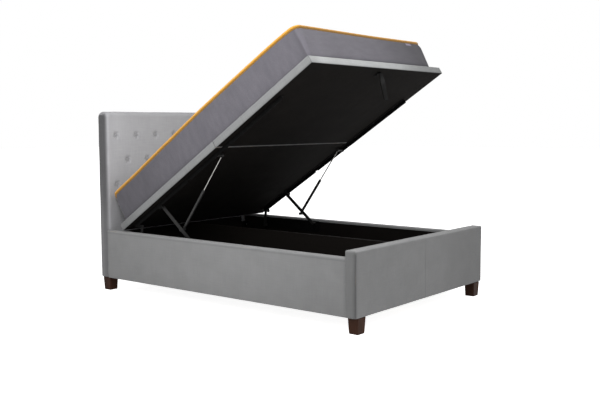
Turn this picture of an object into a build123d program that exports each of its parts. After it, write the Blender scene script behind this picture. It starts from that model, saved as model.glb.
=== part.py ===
from build123d import *

import math
import os

os.makedirs("parts", exist_ok=True)

# Ottoman storage bed for a double mattress, in millimetres.
# X runs across the bed, +Y runs to the headboard and +Z is up.
# The origin is on the floor, under the middle of the bed.
# The bed stands open: the lifting platform is held up by its gas struts.

# Driving sizes of the base
bed_length = 2155.0
base_width = 1444.0
skirt_bottom = 92.0
rail_top = 418.0
rail_thickness = 56.0
cover_skin = 4.0
cover_lip = 16.0
cover_rounding = 8.0
liner_thickness = 4.0

# Driving sizes of the footboard and the headboard
footboard_overhang = 3.0
footboard_thickness = 74.0
footboard_top = 462.0
footboard_rounding = 9.0
headboard_thickness = 85.0
headboard_top = 1225.0
headboard_side_inset = 8.0
headboard_corner = 42.0
headboard_rounding = 20.0
pad_thickness = 48.0
back_skin = 4.0

# Buttoned tufts of the headboard
tufts_in_long_row = 8
tuft_row_pitch = 168.0
tuft_rows = 3
tuft_top_margin = 160.0
tuft_radius = 32.0
tuft_depth = 9.0
button_radius = 12.0
button_height = 7.0
button_rounding = 5.0
button_clearance = 0.4

# Feet and storage floor
foot_height = skirt_bottom
foot_top_width = 70.0
foot_bottom_width = 60.0
foot_side_inset = 24.0
foot_end_inset = 2.0
foot_chamfer = 2.0
cleat_size = 20.0
cleat_rise = 6.0
floor_thickness = 4.0
floor_joint = 1.0
divider_thickness = 18.0
divider_drop = 6.0
divider_cut_clearance = 15.0
divider_cut_rounding = 25.0
beam_width = 60.0
beam_depth = 48.0
support_radius = 20.0
support_places_share = (0.3, 0.7)

# Steel corner brackets
bracket_leg = 40.0
bracket_height = 120.0
bracket_thickness = 3.0
bracket_bottom = 240.0
bolt_head_radius = 6.0
bolt_head_height = 3.5
bolt_margin = 25.0

# Lifting platform
head_gap = 35.0
foot_gap = 36.0
rest_gap = 1.0
platform_inset = 7.0
platform_thickness = 47.0
platform_rounding = 8.0
edge_skin = 4.0
top_skin = 3.0
dust_skin = 2.0
deck_board = 3.0
head_half_length = 1048.0
half_joint = 1.0
side_timber_width = 50.0
cross_timber_width = 45.0
head_cross_timbers = 6
foot_cross_timbers = 5

# Where the open platform's lower head edge stands, from where it lies closed
lift_angle = 32.95
open_shift = 116.0
open_rise = 9.0

# Mattress
mattress_thickness = 230.0
mattress_side_margin = 40.0
mattress_head_inset = 18.0
mattress_foot_inset = 7.0
mattress_corner = 52.0
mattress_draw_in = 8.0
mattress_crown = 8.0
mattress_crown_width = 60.0
border_edge = 14.0
piping_radius = 7.5
piping_clearance = 0.1

# Lifting gear: pivots on the platform, along it from the head edge and below its underside
front_pivot_along = 356.0
front_pivot_below = 26.0
rear_pivot_along = 103.0
rear_pivot_below = 32.0
strut_pivot_along = 975.0
strut_pivot_below = 14.0
front_base_drop = 25.0
rear_base_drop = 73.0
strut_foot_share = 0.355
strut_foot_offset = 6.0

# Lifting gear: layers of steel, from the inner face of the rail inwards
layer_gap = 1.0
base_plate_thickness = 3.0
flange_thickness = 3.0
spacer_length = 24.0
spacer_radius = 8.0
arm_thickness = 5.0
head_thickness = 3.0
head_gap_on_pin = 0.3
strut_layer_gap = 12.0

# Lifting gear: outlines
pivot_radius = 5.0
running_clearance = 0.05
pivot_head_radius = 9.0
front_arm_width = 24.0
rear_arm_width = 22.0
base_plate_margin = 42.0
base_plate_top_drop = 12.0
base_plate_bottom_drop = 93.0
base_plate_corner = 16.0
flange_height = 25.0
flange_leg = 31.0
flange_start = 68.0
flange_end = 1608.0
lug_radius = 14.0
notch_radius = 13.0
screw_head_radius = 5.0
screw_head_height = 2.4
base_screw_drop = 70.0
base_screws = 4
rail_screws = 8
rail_screw_inset = 17.0

# Gas struts
cylinder_radius = 10.0
cylinder_bore_radius = 7.0
cylinder_length = 308.0
cylinder_wall_end = 6.0
rod_radius = 4.0
piston_length = 10.0
piston_start = 240.0
eye_radius = 10.0
eye_length = 16.0
neck_radius = 6.0
neck_length = 14.0
top_stud_radius = 8.0

# Pull strap
strap_width = 28.0
strap_thickness = 4.0
strap_seat_length = 40.0
strap_foot_inset = 39.0
strap_bend = 12.0
strap_drop = 178.0
strap_screw_spacing = 20.0
strap_washer_radius = 8.0
strap_washer_thickness = 1.5

# Places along the bed
bed_front = -bed_length / 2
bed_back = bed_length / 2
footboard_inner = bed_front + footboard_thickness
headboard_face = bed_back - headboard_thickness
pad_back = headboard_face + pad_thickness
rail_outer = base_width / 2
rail_inner = rail_outer - rail_thickness
headboard_half_width = rail_outer - headboard_side_inset
footboard_half_width = rail_outer + footboard_overhang

# The platform's own frame, open and closed
platform_length = headboard_face - footboard_inner - head_gap - foot_gap
platform_half_width = rail_outer - platform_inset
foot_half_start = head_half_length + half_joint
closed_head = (headboard_face - head_gap, rail_top + rest_gap)
open_head = (closed_head[0] - open_shift, closed_head[1] + open_rise)
lift = math.radians(lift_angle)
headward = (0, math.cos(lift), -math.sin(lift))
upward = (0, math.sin(lift), math.cos(lift))
deck_plane = Plane(origin=(0, *open_head), x_dir=(1, 0, 0), z_dir=upward)

# Layers of the lifting gear, as distances from the middle of the bed
plate_inner = rail_inner - base_plate_thickness
flange_outer = plate_inner - layer_gap
flange_inner = flange_outer - flange_thickness
spacer_end = flange_inner - spacer_length
arm_outer = spacer_end - layer_gap
arm_inner = arm_outer - arm_thickness
head_outer = arm_inner - head_gap_on_pin
head_inner = head_outer - head_thickness
strut_centre = head_inner - strut_layer_gap - cylinder_radius

side_names = {-1: "left", 1: "right"}


def open_point(along, below):
    """Place of a platform point in the side view when the bed is open."""
    y = open_head[0] - along * math.cos(lift) - below * math.sin(lift)
    z = open_head[1] + along * math.sin(lift) - below * math.cos(lift)
    return y, z


def closed_point(along, below):
    """Place of the same platform point when the bed is closed."""
    return closed_head[0] - along, closed_head[1] - below


def base_pivot(along, below, drop):
    """Base pivot at a height under the rail top, as far from the open point as from the closed one."""
    y_open, z_open = open_point(along, below)
    y_closed, z_closed = closed_point(along, below)
    z = rail_top - drop
    y_middle = (y_open + y_closed) / 2
    z_middle = (z_open + z_closed) / 2
    return y_middle - (z - z_middle) * (z_closed - z_open) / (y_closed - y_open), z


def between(start, end, share, offset=0.0):
    """Point at a share of the line from start to end, moved square to the line by offset."""
    run = (end[0] - start[0], end[1] - start[1])
    length = math.hypot(*run)
    y = start[0] + run[0] * share - run[1] / length * offset
    z = start[1] + run[1] * share + run[0] / length * offset
    return y, z


front_tip = open_point(front_pivot_along, front_pivot_below)
rear_tip = open_point(rear_pivot_along, rear_pivot_below)
strut_top = open_point(strut_pivot_along, strut_pivot_below)
front_base = base_pivot(front_pivot_along, front_pivot_below, front_base_drop)
rear_base = base_pivot(rear_pivot_along, rear_pivot_below, rear_base_drop)
strut_foot = between(front_base, front_tip, strut_foot_share, -strut_foot_offset)

# Pull strap: its seat along the platform, and where its end hangs when the bed is closed
strap_seat_end = platform_length - strap_foot_inset
strap_seat_start = strap_seat_end - strap_seat_length
strap_end_along = strap_seat_end + strap_bend * math.cos(lift) - strap_drop * math.sin(lift)
strap_end_below = strap_thickness / 2 + strap_bend * math.sin(lift) + strap_drop * math.cos(lift)
strap_closed_end = closed_point(strap_end_along, strap_end_below)


def save(builder, node):
    """Label a finished piece and write its file."""
    builder.part.label = node
    export_step(builder.part, "parts/" + node + ".step")


def side_view(distance, side):
    """Upright plane along the bed, at a distance from its middle."""
    return Plane.YZ.offset(side * distance)


def side_deck_view(distance, side):
    """Upright plane whose first axis runs headward along the open platform's underside."""
    return Plane(origin=(side * distance, *open_head), x_dir=headward, z_dir=(1, 0, 0))


def strut_plane(side, from_foot):
    """Plane square to the strut, at a distance from its lower pivot."""
    direction = Vector(0, strut_top[0] - strut_foot[0], strut_top[1] - strut_foot[1]).normalized()
    start = Vector(side * strut_centre, *strut_foot) + direction * from_foot
    return Plane(origin=start, x_dir=(1, 0, 0), z_dir=direction)


def headboard_layer(front, back, inset, mode=Mode.ADD):
    """Upright layer of the headboard between two places, drawn in by an inset."""
    with BuildSketch(Plane.XZ.offset(-back)) as outline:
        with Locations((0, (headboard_top + skirt_bottom) / 2)):
            Rectangle((headboard_half_width - inset) * 2, headboard_top - skirt_bottom - inset * 2)
        fillet(outline.vertices().group_by(Axis.Y)[-1], headboard_corner - inset)
    extrude(outline.sketch, amount=back - front, dir=(0, -1, 0), mode=mode)


def platform_layer(start, end, half_width, bottom, thickness, mode=Mode.ADD):
    """Layer of the platform between two places along it, lying at a height over its underside."""
    with BuildSketch(deck_plane.offset(bottom)) as outline:
        with Locations((0, -(start + end) / 2)):
            Rectangle(half_width * 2, end - start)
    extrude(outline.sketch, amount=thickness, dir=upward, mode=mode)


def tuft_places():
    """Middle of each button, in rows that stand half a pitch apart."""
    pitch = headboard_half_width * 2 / tufts_in_long_row
    places = []
    for row in range(tuft_rows):
        count = tufts_in_long_row - row % 2
        height = headboard_top - tuft_top_margin - row * tuft_row_pitch
        for column in range(count):
            places.append(((column - (count - 1) / 2) * pitch, height))
    return places


# Headboard: a padded face, a board behind it and a cloth tray over the back
tuft_sphere = (tuft_radius**2 + tuft_depth**2) / (2 * tuft_depth)
button_seat = tuft_depth + button_height / 2
with BuildPart() as headboard_pad:
    headboard_layer(headboard_face, pad_back, 0)
    fillet(headboard_pad.faces().sort_by(Axis.Y)[0].edges(), headboard_rounding)
    with Locations([(x, headboard_face + tuft_depth - tuft_sphere, z) for x, z in tuft_places()]):
        Sphere(tuft_sphere, mode=Mode.SUBTRACT)
    with Locations([(x, headboard_face + button_seat / 2, z) for x, z in tuft_places()]):
        Cylinder(
            button_radius + button_clearance, button_seat, rotation=(90, 0, 0), mode=Mode.SUBTRACT
        )
save(headboard_pad, "headboard_pad")

with BuildPart() as headboard_buttons:
    with Locations([(x, headboard_face + button_seat - button_height / 2, z) for x, z in tuft_places()]):
        Cylinder(button_radius, button_height, rotation=(90, 0, 0))
    fillet(headboard_buttons.edges().group_by(Axis.Y)[0], button_rounding)
save(headboard_buttons, "headboard_buttons")

with BuildPart() as headboard_back_cover:
    headboard_layer(pad_back, bed_back, 0)
    headboard_layer(pad_back, bed_back - back_skin, back_skin, Mode.SUBTRACT)
save(headboard_back_cover, "headboard_back_cover")

with BuildPart() as headboard_board:
    headboard_layer(pad_back, bed_back - back_skin, back_skin)
save(headboard_board, "headboard_board")

# Side rails: a board with a cloth cover over it and a dark liner inside
rail_length = headboard_face - footboard_inner
rail_height = rail_top - skirt_bottom
for side, side_name in side_names.items():
    rail_middle = (side * (rail_outer + rail_inner) / 2, (rail_top + skirt_bottom) / 2)
    window_middle = (side * (rail_inner + cover_skin / 2), rail_middle[1])
    with BuildPart() as rail_cover:
        with BuildSketch(Plane.XZ.offset(-headboard_face)) as rail_section:
            with Locations(rail_middle):
                Rectangle(rail_thickness, rail_height)
            fillet(rail_section.vertices(), cover_rounding)
            with Locations(rail_middle):
                Rectangle(
                    rail_thickness - cover_skin * 2, rail_height - cover_skin * 2, mode=Mode.SUBTRACT
                )
            with Locations(window_middle):
                Rectangle(cover_skin, rail_height - cover_lip * 2, mode=Mode.SUBTRACT)
        extrude(amount=rail_length)
    save(rail_cover, side_name + "_rail_cover")

    with BuildPart() as rail_board:
        with BuildSketch(Plane.XZ.offset(-headboard_face)):
            with Locations(rail_middle):
                Rectangle(rail_thickness - cover_skin * 2, rail_height - cover_skin * 2)
        extrude(amount=rail_length)
    save(rail_board, side_name + "_rail_board")

    with BuildPart() as rail_liner:
        with BuildSketch(Plane.XZ.offset(-headboard_face)):
            with Locations(window_middle):
                Rectangle(cover_skin, rail_height - cover_lip * 2)
        extrude(amount=rail_length)
    save(rail_liner, side_name + "_rail_liner")

# Footboard: a board in a cloth cover of two halves, sewn down the middle
footboard_height = footboard_top - skirt_bottom
for side, side_name in side_names.items():
    with BuildPart() as footboard_cover:
        with BuildSketch(Plane.XZ.offset(-footboard_inner)):
            with Locations((0, (footboard_top + skirt_bottom) / 2)):
                Rectangle(footboard_half_width * 2, footboard_height)
        extrude(amount=footboard_thickness)
        fillet(footboard_cover.edges(), footboard_rounding)
        with BuildSketch(Plane.XZ.offset(-footboard_inner + cover_skin)):
            with Locations((0, (footboard_top + skirt_bottom) / 2)):
                Rectangle((footboard_half_width - cover_skin) * 2, footboard_height - cover_skin * 2)
        extrude(amount=footboard_thickness - cover_skin * 2, mode=Mode.SUBTRACT)
        split(bisect_by=Plane.YZ, keep=Keep.TOP if side > 0 else Keep.BOTTOM)
    save(footboard_cover, "footboard_cover_" + side_name)

with BuildPart() as footboard_board:
    with BuildSketch(Plane.XZ.offset(-footboard_inner + cover_skin)):
        with Locations((0, (footboard_top + skirt_bottom) / 2)):
            Rectangle((footboard_half_width - cover_skin) * 2, footboard_height - cover_skin * 2)
    extrude(amount=footboard_thickness - cover_skin * 2)
save(footboard_board, "footboard_board")

with BuildPart() as footboard_liner:
    with BuildSketch(Plane.XZ.offset(-footboard_inner)):
        with Locations((0, (rail_top + skirt_bottom) / 2)):
            Rectangle(rail_inner * 2, rail_height - cover_lip * 2)
    extrude(amount=-liner_thickness)
save(footboard_liner, "footboard_liner")
liner_face = footboard_inner + liner_thickness

# Four square feet that taper to the floor
foot_half_top = foot_top_width / 2
foot_x = rail_outer - foot_side_inset - foot_half_top
foot_places = {
    "front": bed_front + foot_end_inset + foot_half_top,
    "rear": bed_back - foot_end_inset - foot_half_top,
}
for side, side_name in side_names.items():
    for end_name, foot_y in foot_places.items():
        with BuildPart() as foot:
            with BuildSketch(Plane.XY):
                with Locations((side * foot_x, foot_y)):
                    Rectangle(foot_bottom_width, foot_bottom_width)
            with BuildSketch(Plane.XY.offset(foot_height)):
                with Locations((side * foot_x, foot_y)):
                    Rectangle(foot_top_width, foot_top_width)
            loft()
            chamfer(foot.faces().sort_by(Axis.Z)[0].edges(), foot_chamfer)
        save(foot, "foot_" + end_name + "_" + side_name)

# Storage floor: cleats, two thin panels, a middle beam on two legs and a divider
cleat_bottom = skirt_bottom + cleat_rise
floor_bottom = cleat_bottom + cleat_size
floor_top = floor_bottom + floor_thickness
inside_length = headboard_face - liner_face
inside_middle = (headboard_face + liner_face) / 2
with BuildPart() as floor_cleats:
    with BuildSketch(Plane.XY.offset(cleat_bottom)):
        for side in side_names:
            with Locations((side * (rail_inner - cleat_size / 2), inside_middle)):
                Rectangle(cleat_size, inside_length)
    extrude(amount=cleat_size)
save(floor_cleats, "side_cleats")

end_cleat_length = rail_inner - cleat_size - beam_width / 2
with BuildPart() as end_cleats:
    with BuildSketch(Plane.XY.offset(cleat_bottom)):
        for side in side_names:
            for cleat_y in (liner_face + cleat_size / 2, headboard_face - cleat_size / 2):
                with Locations((side * (beam_width + end_cleat_length) / 2, cleat_y)):
                    Rectangle(end_cleat_length, cleat_size)
    extrude(amount=cleat_size)
save(end_cleats, "end_cleats")

for side, side_name in side_names.items():
    with BuildPart() as floor_panel:
        with BuildSketch(Plane.XY.offset(floor_bottom)):
            with Locations((side * (rail_inner + floor_joint / 2) / 2, inside_middle)):
                Rectangle(rail_inner - floor_joint / 2, inside_length)
        extrude(amount=floor_thickness)
    save(floor_panel, side_name + "_floor_panel")

with BuildPart() as middle_beam:
    with BuildSketch(Plane.XY.offset(floor_bottom - beam_depth)):
        with Locations((0, inside_middle)):
            Rectangle(beam_width, inside_length)
    extrude(amount=beam_depth)
save(middle_beam, "middle_beam")

with BuildPart() as beam_legs:
    with BuildSketch(Plane.XY):
        for share in support_places_share:
            with Locations((0, liner_face + inside_length * share)):
                Circle(support_radius)
    extrude(amount=floor_bottom - beam_depth)
save(beam_legs, "beam_legs")

# The divider's foot end is cut down where the pull strap hangs when the bed is closed
divider_top = rail_top - divider_drop
divider_cut_end = strap_closed_end[0] + divider_cut_clearance
divider_cut_bottom = strap_closed_end[1] - divider_cut_clearance
with BuildPart() as centre_divider:
    with BuildSketch(Plane.YZ) as divider_outline:
        with Locations((inside_middle, (divider_top + floor_top) / 2)):
            Rectangle(inside_length, divider_top - floor_top)
        with Locations(((liner_face + divider_cut_end) / 2, (divider_top + divider_cut_bottom) / 2)):
            Rectangle(divider_cut_end - liner_face, divider_top - divider_cut_bottom, mode=Mode.SUBTRACT)
        cut_corner = divider_outline.vertices().sort_by_distance((divider_cut_end, divider_cut_bottom))[0]
        fillet(cut_corner, divider_cut_rounding)
    extrude(amount=divider_thickness / 2, both=True)
save(centre_divider, "centre_divider")

# Corner brackets and their bolts
with BuildPart() as corner_brackets:
    with BuildSketch(Plane.XY.offset(bracket_bottom)):
        for side in side_names:
            for end, corner_y in ((1, liner_face), (-1, headboard_face)):
                with Locations((side * (rail_inner - bracket_thickness / 2), corner_y + end * bracket_leg / 2)):
                    Rectangle(bracket_thickness, bracket_leg)
                with Locations((side * (rail_inner - bracket_leg / 2), corner_y + end * bracket_thickness / 2)):
                    Rectangle(bracket_leg, bracket_thickness)
    extrude(amount=bracket_height)
save(corner_brackets, "corner_brackets")

bolt_heights = (bracket_bottom + bolt_margin, bracket_bottom + bracket_height - bolt_margin)
bolt_reach = (bracket_leg + bracket_thickness) / 2
with BuildPart() as corner_bolts:
    for side in side_names:
        with BuildSketch(side_view(rail_inner - bracket_thickness, side)):
            for bolt_y in (liner_face + bolt_reach, headboard_face - bolt_reach):
                with Locations([(bolt_y, height) for height in bolt_heights]):
                    Circle(bolt_head_radius)
        extrude(amount=-side * bolt_head_height)
save(corner_bolts, "corner_bolts")

# Base plates on the rails, with their pins and screws
plate_top = rail_top - base_plate_top_drop
plate_bottom = rail_top - base_plate_bottom_drop
plate_start = front_base[0] - base_plate_margin
plate_end = rear_base[0] + base_plate_margin
screw_pitch = (plate_end - plate_start) / base_screws
for side, side_name in side_names.items():
    with BuildPart() as base_plate:
        with BuildSketch(side_view(plate_inner, side)) as plate_outline:
            with Locations(((plate_start + plate_end) / 2, (plate_top + plate_bottom) / 2)):
                Rectangle(plate_end - plate_start, plate_top - plate_bottom)
            fillet(plate_outline.vertices(), base_plate_corner)
        extrude(amount=side * base_plate_thickness)
    save(base_plate, side_name + "_base_plate")

with BuildPart() as base_pins:
    for side in side_names:
        with BuildSketch(side_view(plate_inner, side)):
            with Locations(front_base, rear_base):
                Circle(spacer_radius)
        extrude(amount=-side * (plate_inner - spacer_end))
        with BuildSketch(side_view(spacer_end, side)):
            with Locations(front_base, rear_base):
                Circle(pivot_radius)
        extrude(amount=-side * (spacer_end - head_outer))
        with BuildSketch(side_view(head_outer, side)):
            with Locations(front_base, rear_base):
                Circle(pivot_head_radius)
        extrude(amount=-side * head_thickness)
save(base_pins, "base_pins")

with BuildPart() as base_plate_screws:
    for side in side_names:
        with BuildSketch(side_view(plate_inner, side)):
            for index in range(base_screws):
                with Locations((plate_start + screw_pitch * (index + 0.5), rail_top - base_screw_drop)):
                    Circle(screw_head_radius)
        extrude(amount=-side * screw_head_height)
save(base_plate_screws, "base_plate_screws")

# Front arms: a bar from the base to the platform, with the stud of the strut's foot
arm_angle = math.degrees(math.atan2(front_tip[1] - front_base[1], front_tip[0] - front_base[0]))
arm_length = math.dist(front_base, front_tip)
hole_radius = pivot_radius + running_clearance
for side, side_name in side_names.items():
    with BuildPart() as front_arm:
        with BuildSketch(side_view(arm_inner, side)):
            with Locations(between(front_base, front_tip, 0.5)):
                SlotCenterToCenter(arm_length, front_arm_width, rotation=arm_angle)
            with Locations(strut_foot):
                Circle(front_arm_width / 2)
            with Locations(front_base, front_tip):
                Circle(hole_radius, mode=Mode.SUBTRACT)
        extrude(amount=side * arm_thickness)
    save(front_arm, side_name + "_front_arm")

with BuildPart() as strut_foot_studs:
    for side in side_names:
        with BuildSketch(side_view(arm_inner, side)):
            with Locations(strut_foot):
                Circle(pivot_radius)
        extrude(amount=-side * (arm_inner - strut_centre + eye_length / 2 + head_gap_on_pin))
        with BuildSketch(side_view(strut_centre - eye_length / 2 - head_gap_on_pin, side)):
            with Locations(strut_foot):
                Circle(pivot_head_radius)
        extrude(amount=-side * head_thickness)
save(strut_foot_studs, "strut_foot_studs")

# Rear arms: a short bar, with a bolt head at the platform end
rear_angle = math.degrees(math.atan2(rear_tip[1] - rear_base[1], rear_tip[0] - rear_base[0]))
for side, side_name in side_names.items():
    with BuildPart() as rear_arm:
        with BuildSketch(side_view(arm_inner, side)):
            with Locations(between(rear_base, rear_tip, 0.5)):
                SlotCenterToCenter(math.dist(rear_base, rear_tip), rear_arm_width, rotation=rear_angle)
            with Locations(rear_base):
                Circle(hole_radius, mode=Mode.SUBTRACT)
        extrude(amount=side * arm_thickness)
    save(rear_arm, side_name + "_rear_arm")

with BuildPart() as rear_arm_bolts:
    for side in side_names:
        with BuildSketch(side_view(arm_inner, side)):
            with Locations(rear_tip):
                Circle(pivot_head_radius)
        extrude(amount=-side * head_thickness)
save(rear_arm_bolts, "rear_arm_bolts")

# Gas struts: cylinder with its lower eye, rod with its piston, and the upper end
strut_length = math.dist(strut_foot, strut_top)
for side, side_name in side_names.items():
    with BuildPart() as strut_cylinder:
        with BuildSketch(strut_plane(side, neck_length)):
            Circle(cylinder_radius)
        extrude(amount=cylinder_length)
        with BuildSketch(strut_plane(side, neck_length + cylinder_wall_end)):
            Circle(cylinder_bore_radius)
        extrude(amount=cylinder_length - cylinder_wall_end * 2, mode=Mode.SUBTRACT)
        with BuildSketch(strut_plane(side, neck_length + cylinder_length - cylinder_wall_end)):
            Circle(rod_radius + running_clearance)
        extrude(amount=cylinder_wall_end, mode=Mode.SUBTRACT)
    save(strut_cylinder, side_name + "_strut_cylinder")

    with BuildPart() as strut_rod:
        with BuildSketch(strut_plane(side, piston_start)):
            Circle(cylinder_bore_radius - running_clearance)
        extrude(amount=piston_length)
        with BuildSketch(strut_plane(side, piston_start + piston_length)):
            Circle(rod_radius)
        extrude(amount=strut_length - neck_length - piston_start - piston_length)
    save(strut_rod, side_name + "_strut_rod")

with BuildPart() as strut_lower_eyes:
    for side in side_names:
        with BuildSketch(side_view(strut_centre - eye_length / 2, side)):
            with Locations(strut_foot):
                Circle(eye_radius)
        extrude(amount=side * eye_length)
        with BuildSketch(strut_plane(side, 0)):
            Circle(neck_radius)
        extrude(amount=neck_length)
        with BuildSketch(side_view(strut_centre - eye_length / 2, side)):
            with Locations(strut_foot):
                Circle(hole_radius)
        extrude(amount=side * eye_length, mode=Mode.SUBTRACT)
save(strut_lower_eyes, "strut_lower_eyes")

with BuildPart() as strut_upper_ends:
    for side in side_names:
        with BuildSketch(side_view(strut_centre - eye_length / 2, side)):
            with Locations(strut_top):
                Circle(eye_radius)
        extrude(amount=side * eye_length)
        with BuildSketch(side_view(strut_centre - eye_length / 2, side)):
            with Locations(strut_top):
                Circle(pivot_radius)
        extrude(amount=-side * head_thickness)
        with BuildSketch(strut_plane(side, strut_length - neck_length)):
            Circle(neck_radius)
        extrude(amount=neck_length)
save(strut_upper_ends, "strut_upper_ends")

# Angle rails that carry both halves of the platform, with the pins and studs they hold
pivots_on_rail = (
    (front_pivot_along, front_pivot_below),
    (rear_pivot_along, rear_pivot_below),
    (strut_pivot_along, strut_pivot_below),
)
flange_length = flange_end - flange_start
flange_middle = (flange_start + flange_end) / 2
notch_along = closed_head[0] - front_base[0]
notch_below = closed_head[1] - front_base[1]
for side, side_name in side_names.items():
    with BuildPart() as angle_rail:
        with BuildSketch(side_deck_view(flange_inner, side)):
            with Locations((-flange_middle, -flange_height / 2)):
                Rectangle(flange_length, flange_height)
            for along, below in pivots_on_rail:
                with Locations((-along, -below)):
                    Circle(lug_radius)
                with Locations((-along, -below / 2)):
                    Rectangle(lug_radius * 2, below)
            with Locations((-notch_along, -notch_below)):
                Circle(notch_radius, mode=Mode.SUBTRACT)
        extrude(amount=side * flange_thickness)
        with BuildSketch(side_deck_view(flange_inner - flange_leg + flange_thickness, side)):
            with Locations((-flange_middle, -flange_thickness / 2)):
                Rectangle(flange_length, flange_thickness)
        extrude(amount=side * flange_leg)
    save(angle_rail, side_name + "_angle_rail")

with BuildPart() as platform_pins:
    for side in side_names:
        with BuildSketch(side_view(flange_inner, side)):
            with Locations(front_tip, rear_tip):
                Circle(spacer_radius)
        extrude(amount=-side * spacer_length)
        with BuildSketch(side_view(spacer_end, side)):
            with Locations(front_tip):
                Circle(pivot_radius)
        extrude(amount=-side * (spacer_end - head_outer))
        with BuildSketch(side_view(head_outer, side)):
            with Locations(front_tip):
                Circle(pivot_head_radius)
        extrude(amount=-side * head_thickness)
save(platform_pins, "platform_pins")

with BuildPart() as strut_top_studs:
    for side in side_names:
        with BuildSketch(side_view(flange_inner, side)):
            with Locations(strut_top):
                Circle(top_stud_radius)
        extrude(amount=-side * (flange_inner - strut_centre - eye_length / 2 - layer_gap))
save(strut_top_studs, "strut_top_studs")

rail_screw_pitch = flange_length / rail_screws
with BuildPart() as angle_rail_screws:
    with BuildSketch(deck_plane.offset(-flange_thickness)):
        for side in side_names:
            for index in range(rail_screws):
                along = flange_start + rail_screw_pitch * (index + 0.5)
                with Locations((side * (flange_inner - rail_screw_inset), -along)):
                    Circle(screw_head_radius)
    extrude(amount=-screw_head_height)
save(angle_rail_screws, "angle_rail_screws")


# Platform halves: side timbers, cross timbers, top boards, cloth covers and dust covers
inner_half_width = platform_half_width - edge_skin
timber_height = platform_thickness - top_skin - deck_board - dust_skin
halves = {
    "head": (edge_skin, head_half_length - half_joint),
    "foot": (foot_half_start, platform_length - edge_skin),
}
for half_name, (start, end) in halves.items():
    cover_start = 0 if half_name == "head" else start
    cover_end = platform_length if half_name == "foot" else end
    with BuildPart() as platform_cover:
        platform_layer(cover_start, cover_end, platform_half_width, 0, platform_thickness)
        outer_end = platform_cover.faces().filter_by(Plane(origin=(0, 0, 0), z_dir=headward))
        outer_end = outer_end.sort_by(Axis.Y)[-1 if half_name == "head" else 0]
        corner_edges = outer_end.edges().filter_by(Axis((0, 0, 0), upward))
        fillet(corner_edges, platform_rounding)
        top_edges = platform_cover.faces().sort_by(Axis((0, *open_head), upward))[-1].edges()
        split_line = top_edges.sort_by(Axis.Y)[0 if half_name == "head" else -1]
        fillet([edge for edge in top_edges if edge != split_line], platform_rounding / 2)
        platform_layer(start, end, inner_half_width, 0, platform_thickness - top_skin, Mode.SUBTRACT)
    save(platform_cover, half_name + "_platform_cover")

    with BuildPart() as top_board:
        platform_layer(start, end, inner_half_width, platform_thickness - top_skin, -deck_board)
    save(top_board, half_name + "_top_board")

    with BuildPart() as dust_cover:
        platform_layer(start, end, inner_half_width, 0, dust_skin)
    save(dust_cover, half_name + "_dust_cover")

with BuildPart() as side_timbers:
    with BuildSketch(deck_plane.offset(dust_skin)):
        for side in side_names:
            for start, end in halves.values():
                with Locations((side * (inner_half_width - side_timber_width / 2), -(start + end) / 2)):
                    Rectangle(side_timber_width, end - start)
    extrude(amount=timber_height)
save(side_timbers, "platform_side_timbers")

with BuildPart() as cross_timbers:
    with BuildSketch(deck_plane.offset(dust_skin)):
        for (start, end), count in zip(halves.values(), (head_cross_timbers, foot_cross_timbers)):
            pitch = (end - start - cross_timber_width) / (count - 1)
            for index in range(count):
                with Locations((0, -(start + cross_timber_width / 2 + pitch * index))):
                    Rectangle((inner_half_width - side_timber_width) * 2, cross_timber_width)
    extrude(amount=timber_height)
save(cross_timbers, "platform_cross_timbers")

# Pull strap under the foot edge: a seat on the underside, then it bends and hangs
strap_middle = strap_thickness / 2
with BuildPart() as pull_strap:
    with BuildSketch(Plane.YZ):
        with BuildLine():
            seat_start = open_point(strap_seat_start, strap_middle)
            seat_end = open_point(strap_seat_end, strap_middle)
            hang = (seat_end[0] - strap_bend, seat_end[1] - strap_drop)
            Line(seat_start, seat_end)
            TangentArc(seat_end, (seat_end[0] - strap_bend, seat_end[1] - strap_bend), tangent=(-1, math.tan(lift)))
            Line((seat_end[0] - strap_bend, seat_end[1] - strap_bend), hang)
        trace(line_width=strap_thickness)
    extrude(amount=strap_width / 2, both=True)
save(pull_strap, "pull_strap")

with BuildPart() as strap_screws:
    for radius, depth, start in (
        (strap_washer_radius, strap_washer_thickness, strap_thickness),
        (screw_head_radius, screw_head_height, strap_thickness + strap_washer_thickness),
    ):
        with BuildSketch(deck_plane.offset(-start)):
            for step in (-0.5, 0.5):
                along = (strap_seat_start + strap_seat_end) / 2 + step * strap_screw_spacing
                with Locations((0, -along)):
                    Circle(radius)
        extrude(amount=-depth)
save(strap_screws, "strap_screws")

# Mattress: crowned top, sides drawn in at their edges, piping round the top edge
mattress_width = (platform_half_width - mattress_side_margin) * 2
mattress_length = platform_length - mattress_head_inset - mattress_foot_inset
mattress_bottom = platform_thickness
mattress_top = mattress_bottom + mattress_thickness
ledge = mattress_top - mattress_crown - piping_radius * 2
mattress_middle = -(mattress_head_inset + mattress_length / 2)


def mattress_slice(height, inset):
    """Rounded outline of the mattress at a height over the underside, drawn in by an inset."""
    with BuildSketch(deck_plane.offset(height)) as outline:
        with Locations((0, mattress_middle)):
            RectangleRounded(
                mattress_width - inset * 2, mattress_length - inset * 2, mattress_corner - inset
            )
    return outline.sketch


upper_inset = mattress_draw_in + piping_radius
with BuildPart() as mattress:
    border = (
        (mattress_bottom, mattress_draw_in),
        (mattress_bottom + border_edge, mattress_draw_in / 4),
        ((mattress_bottom + ledge) / 2, 0),
        (ledge - border_edge, mattress_draw_in / 4),
        (ledge, mattress_draw_in),
    )
    loft([mattress_slice(height, inset) for height, inset in border], ruled=True)
    crown = (
        (ledge, upper_inset),
        (ledge + piping_radius * 2, upper_inset),
        (mattress_top - mattress_crown / 4, upper_inset + mattress_crown_width / 4),
        (mattress_top, upper_inset + mattress_crown_width / 2),
    )
    loft([mattress_slice(height, inset) for height, inset in crown], ruled=True)
save(mattress, "mattress")

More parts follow.
